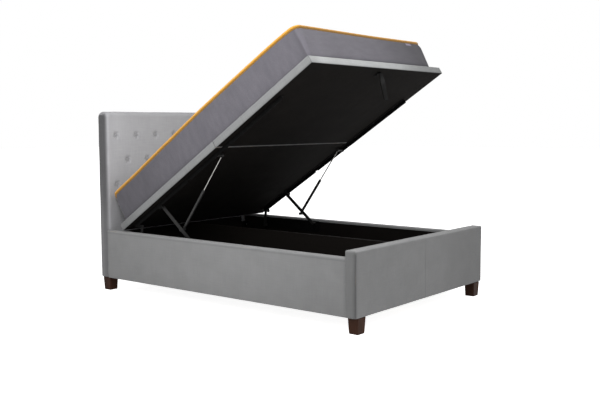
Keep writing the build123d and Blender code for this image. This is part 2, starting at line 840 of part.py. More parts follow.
piping_inset = upper_inset - piping_radius - piping_clearance
piping_height = ledge + piping_radius + piping_clearance
piping_path = mattress_slice(piping_height, piping_inset).face().outer_wire()
with BuildPart() as mattress_piping:
    with BuildSketch(Plane(origin=piping_path @ 0, z_dir=piping_path % 0)):
        Circle(piping_radius)
    sweep(path=piping_path)
save(mattress_piping, "mattress_piping")
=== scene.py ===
import logging
import math
from collections.abc import Iterable
from dataclasses import dataclass, field
from enum import Enum

import bmesh
import bpy
import numpy as np
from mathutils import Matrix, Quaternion, Vector


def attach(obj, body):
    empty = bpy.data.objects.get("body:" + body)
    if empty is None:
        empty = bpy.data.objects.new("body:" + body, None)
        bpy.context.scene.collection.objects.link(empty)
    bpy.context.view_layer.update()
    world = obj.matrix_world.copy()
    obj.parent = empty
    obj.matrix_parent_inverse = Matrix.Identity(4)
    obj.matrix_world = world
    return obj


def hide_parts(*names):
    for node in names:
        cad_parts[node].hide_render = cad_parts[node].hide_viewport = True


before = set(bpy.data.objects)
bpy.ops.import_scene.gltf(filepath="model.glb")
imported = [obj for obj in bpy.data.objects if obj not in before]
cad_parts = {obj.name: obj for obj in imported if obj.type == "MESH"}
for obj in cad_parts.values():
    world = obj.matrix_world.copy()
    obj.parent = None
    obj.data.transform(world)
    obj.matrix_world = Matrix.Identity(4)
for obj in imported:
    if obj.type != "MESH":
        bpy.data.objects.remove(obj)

LOG = logging.getLogger("storage_bed")
Array = np.ndarray
Colour = tuple[float, float, float]
Socket = bpy.types.NodeSocket
Palette = dict[str, bpy.types.Material]
Place = tuple[float, float, float]
Pattern = tuple[Socket, object, dict[str, float]]

# The open platform: its lift, its own directions and the head edge of its underside.
LIFT = math.radians(32.95)
HEADWARD = np.array((0.0, math.cos(LIFT), -math.sin(LIFT)))
UPWARD = np.array((0.0, math.sin(LIFT), math.cos(LIFT)))
DECK_ORIGIN = np.array((0.0, 0.8415, 0.428))
RIGHT, AHEAD, UP = np.eye(3)
# The wave texture turns by this many radians over one unit of its coordinates.
WAVE_RADIANS = 20


# Shape tools


def smooth(value: Array | float) -> Array:
    """Eases a share from 0 to 1 with no kink at either end.

    Args:
        value: the share, cut to 0 and 1 first.

    Returns:
        Three times its square less twice its cube.
    """
    share = np.clip(value, 0.0, 1.0)
    return share * share * (3.0 - 2.0 * share)


def bell(value: Array, width: float) -> Array:
    """Bell curve of a distance: 1 at 0 and 0.37 at its width."""
    return np.exp(-((value / width) ** 2))


def ripple(points: Array, wavelength: float, seed: int, waves: int = 7) -> Array:
    """Slow unevenness of a hand-pulled surface: the mean of a few sine waves in fixed directions.

    Args:
        points: places in metres, one a row.
        wavelength: the usual distance between crests.
        seed: which set of directions to use.
        waves: how many waves are added.

    Returns:
        One value a point, mostly between -1 and 1.
    """
    rng = np.random.default_rng(seed)
    directions = rng.normal(size=(points.shape[1], waves))
    directions /= np.linalg.norm(directions, axis=0)
    turns = points @ directions / (wavelength * rng.uniform(0.7, 1.5, waves))
    return np.sin(2 * math.pi * (turns + rng.uniform(0, 1, waves))).sum(axis=1) / math.sqrt(waves)


def lines_across(
    half: float, radii: Iterable[float], step: float, extra: Iterable[float], rounds: int
) -> Array:
    """Coordinates from -half to half, close together where an edge turns.

    Args:
        half: half of the size that is divided.
        radii: distances from both ends at which a line must stand.
        step: the widest gap between lines.
        extra: more places where a line must stand.
        rounds: the least number of gaps between two of the end lines.

    Returns:
        The rising coordinates.
    """
    ends = sorted({round(r, 6) for r in radii if 0 < r < half})
    marks = {-half, half, *extra, *(s * (half - r) for s in (-1, 1) for r in ends)}
    marks = sorted({round(m, 6) for m in marks if -half <= m <= half})
    inner = half - (ends[-1] if ends else 0.0)
    runs = []
    for low, high in zip(marks, marks[1:]):
        least = rounds if abs(low + high) / 2 > inner else 1
        runs.append(np.linspace(low, high, max(least, math.ceil((high - low) / step)) + 1)[:-1])
    return np.concatenate([*runs, [marks[-1]]])


@dataclass(frozen=True)
class Placing:
    """Where a pad's own axes lie in the bed: an origin and the directions of a, b and c."""

    origin: Array
    a: Array
    b: Array
    c: Array

    def out(self, points: Array) -> Array:
        """Own coordinates turned into the bed's."""
        return self.origin + points @ np.stack((self.a, self.b, self.c))

    def mirrored(self) -> bool:
        """Whether the three directions form a left-handed set."""
        return float(np.dot(np.cross(self.a, self.b), self.c)) < 0


def upright_x(x: float, y: float, z: float, side: int) -> Placing:
    """Placing for a pad in an upright plane along the bed: a headward, b up, c outwards to the side."""
    return Placing(np.array((x, y, z)), AHEAD, UP, side * RIGHT)


def upright_y(y: float, z: float) -> Placing:
    """Placing for a pad across the bed: a to the right, b up, c headward."""
    return Placing(np.array((0.0, y, z)), RIGHT, UP, AHEAD)


def on_deck(along: float, above: float) -> Placing:
    """Placing on the open platform: a to the right, b headward, c square to the platform.

    Args:
        along: distance of the pad's middle from the platform's head edge.
        above: height of the pad's lower face over the platform's underside.
    """
    return Placing(DECK_ORIGIN - along * HEADWARD + above * UPWARD, RIGHT, HEADWARD, UPWARD)


class Side(Enum):
    """Faces of a pad, by the direction that they look in."""

    A_LOW = 0
    A_HIGH = 1
    B_LOW = 2
    B_HIGH = 3
    C_LOW = 4
    C_HIGH = 5


@dataclass
class Surface:
    """A closed grid surface in a pad's own axes.

    Attributes:
        points: places of its points.
        lattice: the same points' places in the box, before rounding.
        quads: four point numbers a face.
        uv: cloth coordinates in metres, for each corner of each face.
        low: which points lie on the face at c = 0.
        high: which points lie on the far face.
    """

    points: Array
    lattice: Array
    quads: Array
    uv: Array
    low: Array
    high: Array

    def normals(self) -> Array:
        """Outward direction at each point: the mean of its quads' directions, by area."""
        p = self.points[self.quads]
        faces = np.cross(p[:, 2] - p[:, 0], p[:, 3] - p[:, 1])
        total = np.zeros_like(self.points)
        for corner in range(4):
            np.add.at(total, self.quads[:, corner], faces)
        return total / np.maximum(np.linalg.norm(total, axis=1, keepdims=True), 1e-12)

    def push(self, offset: Array) -> "Surface":
        """Moves each point along its outward direction by an offset in metres."""
        self.points = self.points + self.normals() * offset[:, None]
        return self


@dataclass
class Slab:
    """A flat pad with rounded corners and rounded edges, laid as a grid over a box.

    Attributes:
        half_a: half of its length along a.
        half_b: half of its length along b.
        thickness: its size along c, from 0.
        corners: corner radii at (-a, -b), (+a, -b), (+a, +b) and (-a, +b).
        edge_low: radius of the edges round the face at c = 0.
        edge_high: radius of the edges round the far face.
        step: widest gap between grid lines.
        extra_a: more grid lines along a.
        extra_b: more grid lines along b.
        rounds: gaps in each rounded part.
        step_c: widest gap between grid lines along c.
        flat_ends: leaves the edges at both ends along a square.
    """

    half_a: float
    half_b: float
    thickness: float
    corners: tuple[float, float, float, float]
    edge_low: float
    edge_high: float
    step: float = 0.02
    extra_a: tuple[float, ...] = ()
    extra_b: tuple[float, ...] = ()
    rounds: int = 5
    step_c: float = 0.02
    flat_ends: bool = False

    def surface(self) -> Surface:
        """The pad's surface.

        A box is divided by lines and its outer points are kept. Near an edge of a face, the square
        turn becomes a quarter circle: the point keeps its direction from the circle's centre. Then
        each upright corner is turned the same way, in the plane of the pad.

        Returns:
            The surface, with its grid places before rounding.
        """
        radii = {*self.corners, self.edge_low, self.edge_high}
        a = lines_across(self.half_a, radii, self.step, self.extra_a, self.rounds)
        b = lines_across(self.half_b, radii, self.step, self.extra_b, self.rounds)
        half = self.thickness / 2
        inner = [e - half for e in (self.edge_low, self.thickness - self.edge_high)]
        c = lines_across(half, (), self.step_c, inner, self.rounds)
        turns = ((-half, self.edge_low - half), (half - self.edge_high, half))
        fine = [np.linspace(lo, hi, self.rounds + 1) for lo, hi in turns if hi > lo]
        c = np.unique(np.round(np.concatenate([c, *fine]), 7)) + half
        shape = (len(a), len(b), len(c))
        i, j, k = np.indices(shape)
        on = (i == 0) | (i == shape[0] - 1) | (j == 0) | (j == shape[1] - 1) | (k == 0) | (k == shape[2] - 1)
        ids = np.full(shape, -1)
        ids[on] = np.arange(int(on.sum()))
        lattice = np.stack((a[i[on]], b[j[on]], c[k[on]]), axis=1)
        quads, uv = [], []
        for side in Side:
            q, t = self._face(side, ids, a, b, c)
            quads.append(q)
            uv.append(t)
        low, high = k[on] == 0, k[on] == shape[2] - 1
        return Surface(self._rounded(lattice), lattice, np.concatenate(quads), np.concatenate(uv), low, high)

    def _face(self, side: Side, ids: Array, a: Array, b: Array, c: Array) -> tuple[Array, Array]:
        """Quads of one side of the box, turned outwards, with cloth coordinates that run over the edges."""
        if side in (Side.C_LOW, Side.C_HIGH):
            grid = ids[:, :, 0 if side is Side.C_LOW else -1]
            u, v = np.meshgrid(a, b, indexing="ij")
            flip = side is Side.C_LOW
        elif side in (Side.A_LOW, Side.A_HIGH):
            grid = ids[0 if side is Side.A_LOW else -1]
            v, u = np.meshgrid(b, self.half_a + c, indexing="ij")
            flip = side is Side.A_LOW
        else:
            grid = ids[:, 0 if side is Side.B_LOW else -1]
            u, v = np.meshgrid(a, self.half_b + c, indexing="ij")
            flip = side is Side.B_HIGH
        places = np.stack((u, v), axis=-1)
        order = ((0, 0), (0, 1), (1, 1), (1, 0)) if flip else ((0, 0), (1, 0), (1, 1), (0, 1))
        n, m = grid.shape
        quads = np.stack([grid[p : n - 1 + p, q : m - 1 + q].ravel() for p, q in order], axis=1)
        uv = np.stack([places[p : n - 1 + p, q : m - 1 + q].reshape(-1, 2) for p, q in order], axis=1)
        return quads, uv

    def _rounded(self, lattice: Array) -> Array:
        """Grid places with their edges and corners turned into quarter circles."""
        plane = lattice[:, :2]
        past_the_end = 1.0 if self.flat_ends else 0.0
        half = np.array((self.half_a + past_the_end, self.half_b))
        room = half - np.abs(plane)
        deep = room.min(axis=1)
        top = lattice[:, 2] > self.thickness / 2
        radius = np.where(top, self.edge_high, self.edge_low)
        rise = np.where(top, self.thickness - lattice[:, 2], lattice[:, 2])
        near = (deep < radius) & (rise < radius)
        across, down = np.where(near, deep - radius, 0.0), np.where(near, rise - radius, 0.0)
        scale = np.where(near, radius / np.maximum(np.hypot(across, down), 1e-12), 1.0)
        new_deep = np.where(near, radius + across * scale, deep)
        new_rise = np.where(near, radius + down * scale, rise)
        right, back = plane[:, 0] > 0, plane[:, 1] > 0
        small = np.where(right, self.corners[1], self.corners[0])
        big = np.where(right, self.corners[2], self.corners[3])
        corner = np.maximum(np.where(back, big, small), radius)
        offset = corner[:, None] - room
        turned = (offset > 0).all(axis=1)
        shrink = (corner - new_deep) / np.maximum(corner - deep, 1e-12)
        length = np.maximum(np.hypot(offset[:, 0], offset[:, 1]), 1e-12)
        circle = offset * (offset.max(axis=1) / length * shrink)[:, None]
        straight = np.where(room == deep[:, None], new_deep[:, None], room)
        new_room = np.where(turned[:, None], corner[:, None] - circle, straight)
        flat = np.sign(plane) * (half - new_room)
        height = np.where(top, self.thickness - new_rise, new_rise)
        return np.column_stack((flat, height))


def thin(
    half_a: float, half_b: float, thickness: float, corner: float, edge: float, step: float = 0.03
) -> Surface:
    """A thin flat cloth with its corners and edges only just broken."""
    return Slab(half_a, half_b, thickness, (corner,) * 4, edge, edge, step=step, rounds=1).surface()


def carried(
    path: Array, profile: Array, up: Array, closed: bool, turn: Array | float = 0.0
) -> tuple[Array, Array, Array]:
    """A profile carried along a path, square to it all the way, its second axis nearest to up.

    Args:
        path: points of the middle line.
        profile: closed outline, two numbers a point: across, then up.
        up: the direction that the sections keep.
        closed: whether the path meets itself.
        turn: how far the sections are turned about the path.

    Returns:
        Points, quads and cloth coordinates: length along the path, then round the outline.
    """
    ahead = np.roll(path, -1, axis=0) - np.roll(path, 1, axis=0)
    if not closed:
        ahead[0], ahead[-1] = path[1] - path[0], path[-1] - path[-2]
    ahead /= np.linalg.norm(ahead, axis=1, keepdims=True)
    side = np.cross(ahead, up)
    side /= np.linalg.norm(side, axis=1, keepdims=True)
    over = np.cross(side, ahead)
    cos, sin = np.cos(turn)[..., None], np.sin(turn)[..., None]
    side, over = side * cos + over * sin, over * cos - side * sin
    points = path[:, None] + profile[None, :, :1] * side[:, None] + profile[None, :, 1:] * over[:, None]
    n, m = len(path), len(profile)
    rows, cols = np.meshgrid(np.arange(n if closed else n - 1), np.arange(m), indexing="ij")
    corners = ((rows, cols), (rows + 1, cols), (rows + 1, cols + 1), (rows, cols + 1))
    quads = np.stack([(r % n * m + c % m).ravel() for r, c in corners], axis=1)
    gone, girth = travelled(path), travelled(profile)
    uv = np.stack([np.column_stack((gone[r].ravel(), girth[c].ravel())) for r, c in corners], axis=1)
    return points.reshape(-1, 3), quads, uv


def travelled(line: Array) -> Array:
    """Distance gone at each point of a closed line, and once more at its start."""
    steps = np.diff(np.concatenate([line, line[:1]]), axis=0)
    return np.concatenate([[0.0], np.cumsum(np.linalg.norm(steps, axis=1))])


def ring(radius_x: float, radius_y: float, count: int) -> Array:
    """Closed oval outline, one point a row, turning so that a carried tube faces outwards."""
    angle = np.arange(count) * (2 * math.pi / count)
    return np.column_stack((radius_x * np.cos(angle), radius_y * np.sin(angle)))


def piece(
    name: str, points: Array, quads: Array, uv: Array, tone: Array | None = None, flip: bool = False
) -> bpy.types.Object:
    """A new object at the origin, with its place in its mesh.

    Args:
        name: the object's name.
        points: places in the bed's frame.
        quads: four point numbers a face.
        uv: cloth coordinates in metres, for each corner of each face.
        tone: painted light and shade at each point, with a little dye variation; 1 where it is plain.
        flip: turns the faces round, for a mirrored placing.

    Returns:
        The object, in the scene.
    """
    if flip:
        quads, uv = quads[:, ::-1], uv[:, ::-1]
    tone = np.ones(len(points)) if tone is None else tone
    used, numbers = np.unique(quads, return_inverse=True)
    points, tone, quads = points[used], tone[used], numbers.reshape(quads.shape)
    mesh = bpy.data.meshes.new(name)
    mesh.from_pydata(points.tolist(), [], quads.tolist())
    layer = mesh.uv_layers.new(name="cloth")
    layer.data.foreach_set("uv", np.ascontiguousarray(uv, dtype=np.float32).ravel())
    shade = mesh.attributes.new("tone", "FLOAT", "POINT")
    shade.data.foreach_set("value", tone.astype(np.float32))
    mesh.shade_smooth()
    obj = bpy.data.objects.new(name, mesh)
    bpy.context.scene.collection.objects.link(obj)
    return obj


def padded_piece(
    name: str, surface: Surface, placing: Placing, tone: Array | None = None
) -> bpy.types.Object:
    """An object from a pad's surface, put in its place."""
    return piece(name, placing.out(surface.points), surface.quads, surface.uv, tone, placing.mirrored())


def seat(
    obj: bpy.types.Object, finish: bpy.types.Material, body: str, slot: str, *nodes: str
) -> bpy.types.Object:
    """Dresses a finished piece, lets it ride on its body and stand for its solids.

    Args:
        obj: the finished piece.
        finish: its material.
        body: the body that carries it.
        slot: the record's material slot; not used.
        nodes: the solids that it stands for.

    Returns:
        The same piece.
    """
    obj.data.materials.clear()
    obj.data.materials.append(finish)
    if nodes:
        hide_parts(*nodes)
    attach(obj, body)
    LOG.info("%s rides on %s and stands for %s", obj.name, body, ", ".join(nodes) or "nothing else")
    return obj


# Finishes


class Recipe:
    """A material under construction: its node tree, with short ways to add to it."""

    def __init__(self, name: str) -> None:
        """Starts a material with only its shader and output."""
        self.material = bpy.data.materials.new(name)
        self.material.use_nodes = True
        self.tree = self.material.node_tree
        self.shader = next(n for n in self.tree.nodes if n.type == "BSDF_PRINCIPLED")

    def add(self, kind: str, inputs: dict | None = None, **settings: object) -> bpy.types.Node:
        """A node of a kind, with its settings, and its inputs set or linked."""
        node = self.tree.nodes.new(kind)
        for key, value in settings.items():
            setattr(node, key, value)
        for key, value in (inputs or {}).items():
            self.feed(node.inputs[key], value)
        return node

    def feed(self, socket: Socket, value: object) -> None:
        """Links a socket to another one, or sets it to a plain value."""
        if isinstance(value, Socket):
            self.tree.links.new(value, socket)
        else:
            socket.default_value = value

    def place(
        self, scale: Iterable[float] = (1.0, 1.0, 1.0), kind: str = "Object", turn: float = 0.0
    ) -> Socket:
        """Coordinates of a kind, in metres, stretched by a scale for each axis and turned about Z."""
        source = self.add("ShaderNodeTexCoord").outputs[kind]
        spun = self.add("ShaderNodeMapping", {"Vector": source, "Rotation": (0.0, 0.0, turn)}).outputs[0]
        return self.add("ShaderNodeMapping", {"Vector": spun, "Scale": tuple(scale)}).outputs[0]

    def noise(self, vector: Socket, scale: float = 1.0, detail: float = 3.0, rough: float = 0.5) -> Socket:
        """Cloudy noise, from 0 to 1, on some coordinates."""
        inputs = {"Vector": vector, "Scale": scale, "Detail": detail, "Roughness": rough}
        return self.add("ShaderNodeTexNoise", inputs).outputs[0]

    def bands(self, vector: Socket, pitch: float, axis: str = "X", warp: float = 0.0) -> Socket:
        """Even rounded bands across an axis, one each pitch in metres, a little warped."""
        scale = 2 * math.pi / WAVE_RADIANS / pitch
        inputs = {"Vector": vector, "Scale": scale, "Distortion": warp, "Detail": 1.0}
        return self.add("ShaderNodeTexWave", inputs, bands_direction=axis).outputs[1]

    def joined(self, operation: str, first: object, second: object) -> Socket:
        """Two numbers joined by an operation."""
        node = self.add("ShaderNodeMath", operation=operation)
        self.feed(node.inputs[0], first)
        self.feed(node.inputs[1], second)
        return node.outputs[0]

    def sum(self, first: object, second: object) -> Socket:
        """Two numbers added."""
        return self.joined("ADD", first, second)

    def times(self, first: object, second: object) -> Socket:
        """Two numbers multiplied."""
        return self.joined("MULTIPLY", first, second)

    def spread(
        self, value: Socket, low: float, high: float, to_low: float = 0.0, to_high: float = 1.0
    ) -> Socket:
        """A number moved from one range to another."""
        inputs = {"Value": value, "From Min": low, "From Max": high, "To Min": to_low, "To Max": to_high}
        return self.add("ShaderNodeMapRange", inputs).outputs[0]

    def clouds(self, noise: Socket, most: float, least: float = 0.0) -> Socket:
        """The usual range of a noise moved to run from a least to a most value."""
        return self.spread(noise, 0.3, 0.7, least, most)

    def blend(self, share: object, low: Colour, high: Colour) -> Socket:
        """A colour between two, by a share."""
        node = self.add("ShaderNodeMix", data_type="RGBA")
        self.feed(node.inputs[0], share)
        for socket, value in ((node.inputs[6], low), (node.inputs[7], high)):
            self.feed(socket, (*value, 1.0))
        return node.outputs[2]

    def with_painted_light(self, colour: Socket) -> Socket:
        """A colour made darker where the piece's painted light and shade is below 1."""
        tone = self.add("ShaderNodeAttribute", attribute_name="tone").outputs["Fac"]
        node = self.add("ShaderNodeVectorMath", operation="SCALE")
        self.feed(node.inputs[0], colour)
        self.feed(node.inputs["Scale"], tone)
        return node.outputs[0]

    def raise_by(self, height: Socket, depth: float, strength: float) -> None:
        """Bump of a height in metres, joined to the shader."""
        node = self.add("ShaderNodeBump", {"Height": height, "Distance": depth, "Strength": strength})
        self.feed(self.shader.inputs["Normal"], node.outputs[0])

    def surface(self, colour: Socket, roughness: object, others: dict[str, float]) -> bpy.types.Material:
        """Joins colour and roughness to the shader, sets its other inputs and hands the material over."""
        for key, value in {"Base Color": colour, "Roughness": roughness, **others}.items():
            self.feed(self.shader.inputs[key], value)
        return self.material


@dataclass(frozen=True)
class Finish:
    """A material whose colour lies between a dark and a light one, by a share that each kind works out."""

    name: str
    dark: Colour
    light: Colour

    def pattern(self, r: Recipe) -> Pattern:
        """Adds the bump, and gives the share, the roughness and the shader's other inputs."""
        raise NotImplementedError

    def colour(self, r: Recipe, share: Socket) -> Socket:
        """The colour at a share."""
        return r.blend(share, self.dark, self.light)

    def make(self) -> bpy.types.Material:
        """Builds the material."""
        r = Recipe(self.name)
        share, roughness, others = self.pattern(r)
        return r.surface(self.colour(r, share), roughness, others)


class Cloth(Finish):
    """A finish for pieces that carry their own painted light and shade."""

    def colour(self, r: Recipe, share: Socket) -> Socket:
        """The colour at a share, darker by the piece's painted light and shade."""
        return r.with_painted_light(super().colour(r, share))


@dataclass(frozen=True)
class WovenCloth(Cloth):
    """Plain-weave upholstery: fine threads both ways, with long slubs and slow dye clouds."""

    thread: float = 0.0016
    slub: float = 0.55
    grain: float = 0.25

    def pattern(self, r: Recipe) -> Pattern:
        """Slubs from noise drawn out along each thread, and a weave from two sets of bands."""
        plain = r.place(kind="UV")
        along = r.noise(r.place((9.0, 150.0, 1.0), "UV"), detail=4.0, rough=0.6)
        across = r.noise(r.place((150.0, 9.0, 1.0), "UV"), detail=4.0, rough=0.6)
        cloud = r.noise(plain, scale=7.0, detail=2.0)
        slubs = r.times(r.spread(r.sum(along, across), 0.7, 1.3), self.slub)
        weave = r.times(r.bands(plain, self.thread, "X", 0.6), r.bands(plain, self.thread, "Y", 0.6))
        share = r.sum(r.sum(slubs, r.times(weave, self.grain)), r.clouds(cloud, 0.2))
        fuzz = r.noise(plain, scale=900.0, detail=1.0)
        r.raise_by(r.sum(r.times(weave, 0.7), r.sum(slubs, r.times(fuzz, 0.4))), 0.0005, 0.55)
        return share, 0.92, {"Sheen Weight": 0.18, "Sheen Roughness": 0.5, "Specular IOR Level": 0.2}


@dataclass(frozen=True)
class KnitBorder(Cloth):
    """Knitted mattress cloth: slanting ribs with mottled yarn."""

    rib: float = 0.0055
    mottle: float = 0.5

    def pattern(self, r: Recipe) -> Pattern:
        """Warped bands at a slant, broken up by mottling."""
        slant, plain = r.place(kind="UV", turn=math.radians(38)), r.place(kind="UV")
        ribs, wales = r.bands(slant, self.rib, "X", 1.2), r.bands(plain, self.rib * 0.55, "Y", 0.8)
        mottle = r.noise(plain, scale=160.0, rough=0.7)
        cloud = r.noise(r.place((12.0, 30.0, 1.0), "UV"))
        knit = r.sum(r.times(ribs, 0.6), r.times(wales, 0.4))
        yarn = r.sum(r.times(knit, 0.35), r.clouds(mottle, self.mottle))
        r.raise_by(r.sum(knit, r.times(mottle, 0.6)), 0.0008, 0.6)
        share = r.sum(yarn, r.clouds(cloud, 0.25))
        return share, 0.9, {"Sheen Weight": 0.15, "Specular IOR Level": 0.2}


@dataclass(frozen=True)
class Lining(Cloth):
    """Thin black non-woven cloth: pressed fibres with a faint pin pattern."""

    pin: float = 0.0032

    def pattern(self, r: Recipe) -> Pattern:
        """Fibre noise, clouds of thickness and a grid of small pins."""
        plain = r.place(kind="UV")
        fibres = r.noise(plain, scale=420.0, detail=4.0, rough=0.7)
        pins = r.times(r.bands(plain, self.pin, "X"), r.bands(plain, self.pin, "Y"))
        share = r.sum(r.spread(fibres, 0.35, 0.65, 0.0, 0.4), r.clouds(r.noise(plain, scale=5.0), 0.6))
        r.raise_by(r.sum(fibres, pins), 0.0004, 0.5)
        return share, 0.9, {"Specular IOR Level": 0.07}


@dataclass(frozen=True)
class CordedTape(Cloth):
    """Ribbed woven tape, as on piping and webbing: even ribs across its length."""

    rib: float
    sheen: float = 0.0
    specular: float = 0.2

    def pattern(self, r: Recipe) -> Pattern:
        """Ribs across its length and a finer weave between them."""
        slant, plain = r.place(kind="UV", turn=math.radians(24)), r.place(kind="UV")
        ribs, threads = r.bands(slant, self.rib, "X", 0.2), r.bands(plain, self.rib * 0.45, "Y", 0.4)
        fine = r.sum(r.times(threads, 0.2), r.clouds(r.noise(plain, scale=60.0), 0.3))
        r.raise_by(r.sum(ribs, r.times(threads, 0.4)), 0.0006, 0.7)
        share = r.sum(r.times(ribs, 0.55), fine)
        return share, 0.7, {"Sheen Weight": self.sheen, "Specular IOR Level": self.specular}


@dataclass(frozen=True)
class Timber(Finish):
    """Solid wood: long grain lines with growth rings, stained or bare."""

    stretch: tuple[float, float, float]
    gloss: float = 0.68
    specular: float = 0.4

    def grown(self, r: Recipe, scale: float, detail: float = 2.0, rough: float = 0.5) -> Socket:
        """Noise drawn out along the grain."""
        return r.noise(r.place([s * scale for s in self.stretch]), detail=detail, rough=rough)

    def pattern(self, r: Recipe) -> Pattern:
        """Grain, slow bands of growth and darker pores."""
        grain, pores, growth = self.grown(r, 60.0, 6.0, 0.65), self.grown(r, 380.0), self.grown(r, 14.0)
        share = r.sum(r.clouds(grain, 0.65), r.clouds(growth, 0.45))
        share = r.joined("SUBTRACT", share, r.spread(pores, 0.55, 0.75, 0.0, 0.35))
        r.raise_by(r.sum(grain, r.times(pores, 0.6)), 0.0004, 0.4)
        rough = r.clouds(grain, self.gloss + 0.08, self.gloss - 0.06)
        return share, rough, {"Specular IOR Level": self.specular}


@dataclass(frozen=True)
class PressedBoard(Finish):
    """Engineered board: packed chips or fibres under a dull face."""

    chip: float = 0.006
    specular: float = 0.3

    def pattern(self, r: Recipe) -> Pattern:
        """Cells for the chips and noise for the dust between them."""
        cells = r.add("ShaderNodeTexVoronoi", {"Vector": r.place(), "Scale": 1 / self.chip})
        tint = r.add("ShaderNodeSeparateColor", {"Color": cells.outputs["Color"]}).outputs[0]
        dust = r.noise(r.place(), scale=300.0)
        r.raise_by(dust, 0.0003, 0.4)
        share = r.sum(r.times(tint, 0.5), r.clouds(dust, 0.5))
        return share, 0.75, {"Specular IOR Level": self.specular}


@dataclass(frozen=True)
class PaintedSteel(Finish):
    """Powder-coated steel: satin paint with fine orange peel and a few rubbed places."""

    gloss: float = 0.45
    specular: float = 0.4

    def pattern(self, r: Recipe) -> Pattern:
        """A pebbled surface and clouds where handling has dulled it."""
        rub = r.noise(r.place(), scale=38.0, detail=5.0, rough=0.65)
        r.raise_by(r.noise(r.place(), scale=700.0, detail=2.0), 0.0002, 0.35)
        rough = r.clouds(rub, self.gloss + 0.12, self.gloss - 0.08)
        return r.spread(rub, 0.45, 0.75), rough, {"Specular IOR Level": self.specular}


@dataclass(frozen=True)
class BareMetal(Finish):
    """Plated or ground steel: fine lines of finishing with cloudy patches."""

    gloss: float
    stretch: tuple[float, float, float] = (1.0, 1.0, 1.0)

    def pattern(self, r: Recipe) -> Pattern:
        """Drawn-out noise for the finishing lines, and clouds in its shine."""
        lines = r.noise(r.place([s * 500.0 for s in self.stretch]))
        r.raise_by(lines, 0.0001, 0.25)
        cloud = r.noise(r.place(), scale=60.0, detail=4.0)
        rough = r.clouds(cloud, self.gloss + 0.1, self.gloss - 0.05)
        return r.clouds(lines, 1.0), rough, {"Metallic": 1.0}


SAWN = ((0.36, 0.23, 0.12), (0.62, 0.45, 0.27))
FINISHES = {
    "upholstery": WovenCloth(
        "grey_upholstery", (0.150, 0.151, 0.152), (0.240, 0.241, 0.242), slub=0.2, grain=0.12),
    # Painted light: the headboard's cloth is the rails' grey cloth made lighter, for the light that falls on
    # the headboard.
    "headboard": WovenCloth(
        "headboard_upholstery", (0.288, 0.286, 0.298), (0.415, 0.413, 0.425), slub=0.3, grain=0.2),
    "edge": WovenCloth("platform_edge_cloth", (0.27, 0.275, 0.275), (0.42, 0.43, 0.43), thread=0.0021),
    "border": KnitBorder("mattress_border_knit", (0.080, 0.076, 0.087), (0.146, 0.139, 0.160)),
    "topping": KnitBorder("mattress_top_knit", (0.62, 0.60, 0.55), (0.80, 0.78, 0.73), 0.007, 0.35),
    "piping": CordedTape("amber_piping", (0.45, 0.185, 0.014), (0.80, 0.42, 0.052), 0.0032, sheen=0.15),
    "webbing": CordedTape(
        "black_webbing", (0.008, 0.008, 0.008), (0.026, 0.026, 0.026), 0.0026, specular=0.03),
    "lining": Lining("black_lining", (0.0022, 0.0018, 0.0015), (0.0058, 0.0047, 0.004)),
    "tab": WovenCloth("blank_tab", (0.20, 0.178, 0.235), (0.30, 0.27, 0.34), thread=0.0008),
    "foot_wood": Timber(
        "stained_foot_wood", (0.011, 0.0045, 0.003), (0.046, 0.020, 0.012), (1.0, 1.0, 0.09), 0.5, 0.05),
    "cross_wood": Timber("sawn_timber", *SAWN, (0.1, 1.0, 1.0)),
    "long_wood": Timber("sawn_timber_long", *SAWN, (1.0, 0.1, 0.4)),
    "board": PressedBoard("pressed_board", (0.26, 0.18, 0.10), (0.50, 0.38, 0.24)),
    "dark_board": PressedBoard(
        "dark_board", (0.0022, 0.0018, 0.0015), (0.0070, 0.0055, 0.0045), 0.003, 0.08),
    "rail_steel": PaintedSteel("rail_powder_coat", (0.002, 0.002, 0.002), (0.005, 0.005, 0.005), 0.6, 0.05),
    "black_steel": PaintedSteel(
        "black_powder_coat", (0.007, 0.007, 0.007), (0.018, 0.017, 0.016), 0.5, 0.2),
    "strut": PaintedSteel("strut_paint", (0.008, 0.008, 0.008), (0.020, 0.019, 0.018), 0.4, 0.3),
    "zinc": BareMetal("zinc_plate", (0.11, 0.11, 0.105), (0.22, 0.22, 0.21), 0.42),
    "rod": BareMetal("polished_rod", (0.24, 0.235, 0.22), (0.40, 0.39, 0.375), 0.25, (1.0, 0.05, 0.05)),
}


# Sub-assemblies


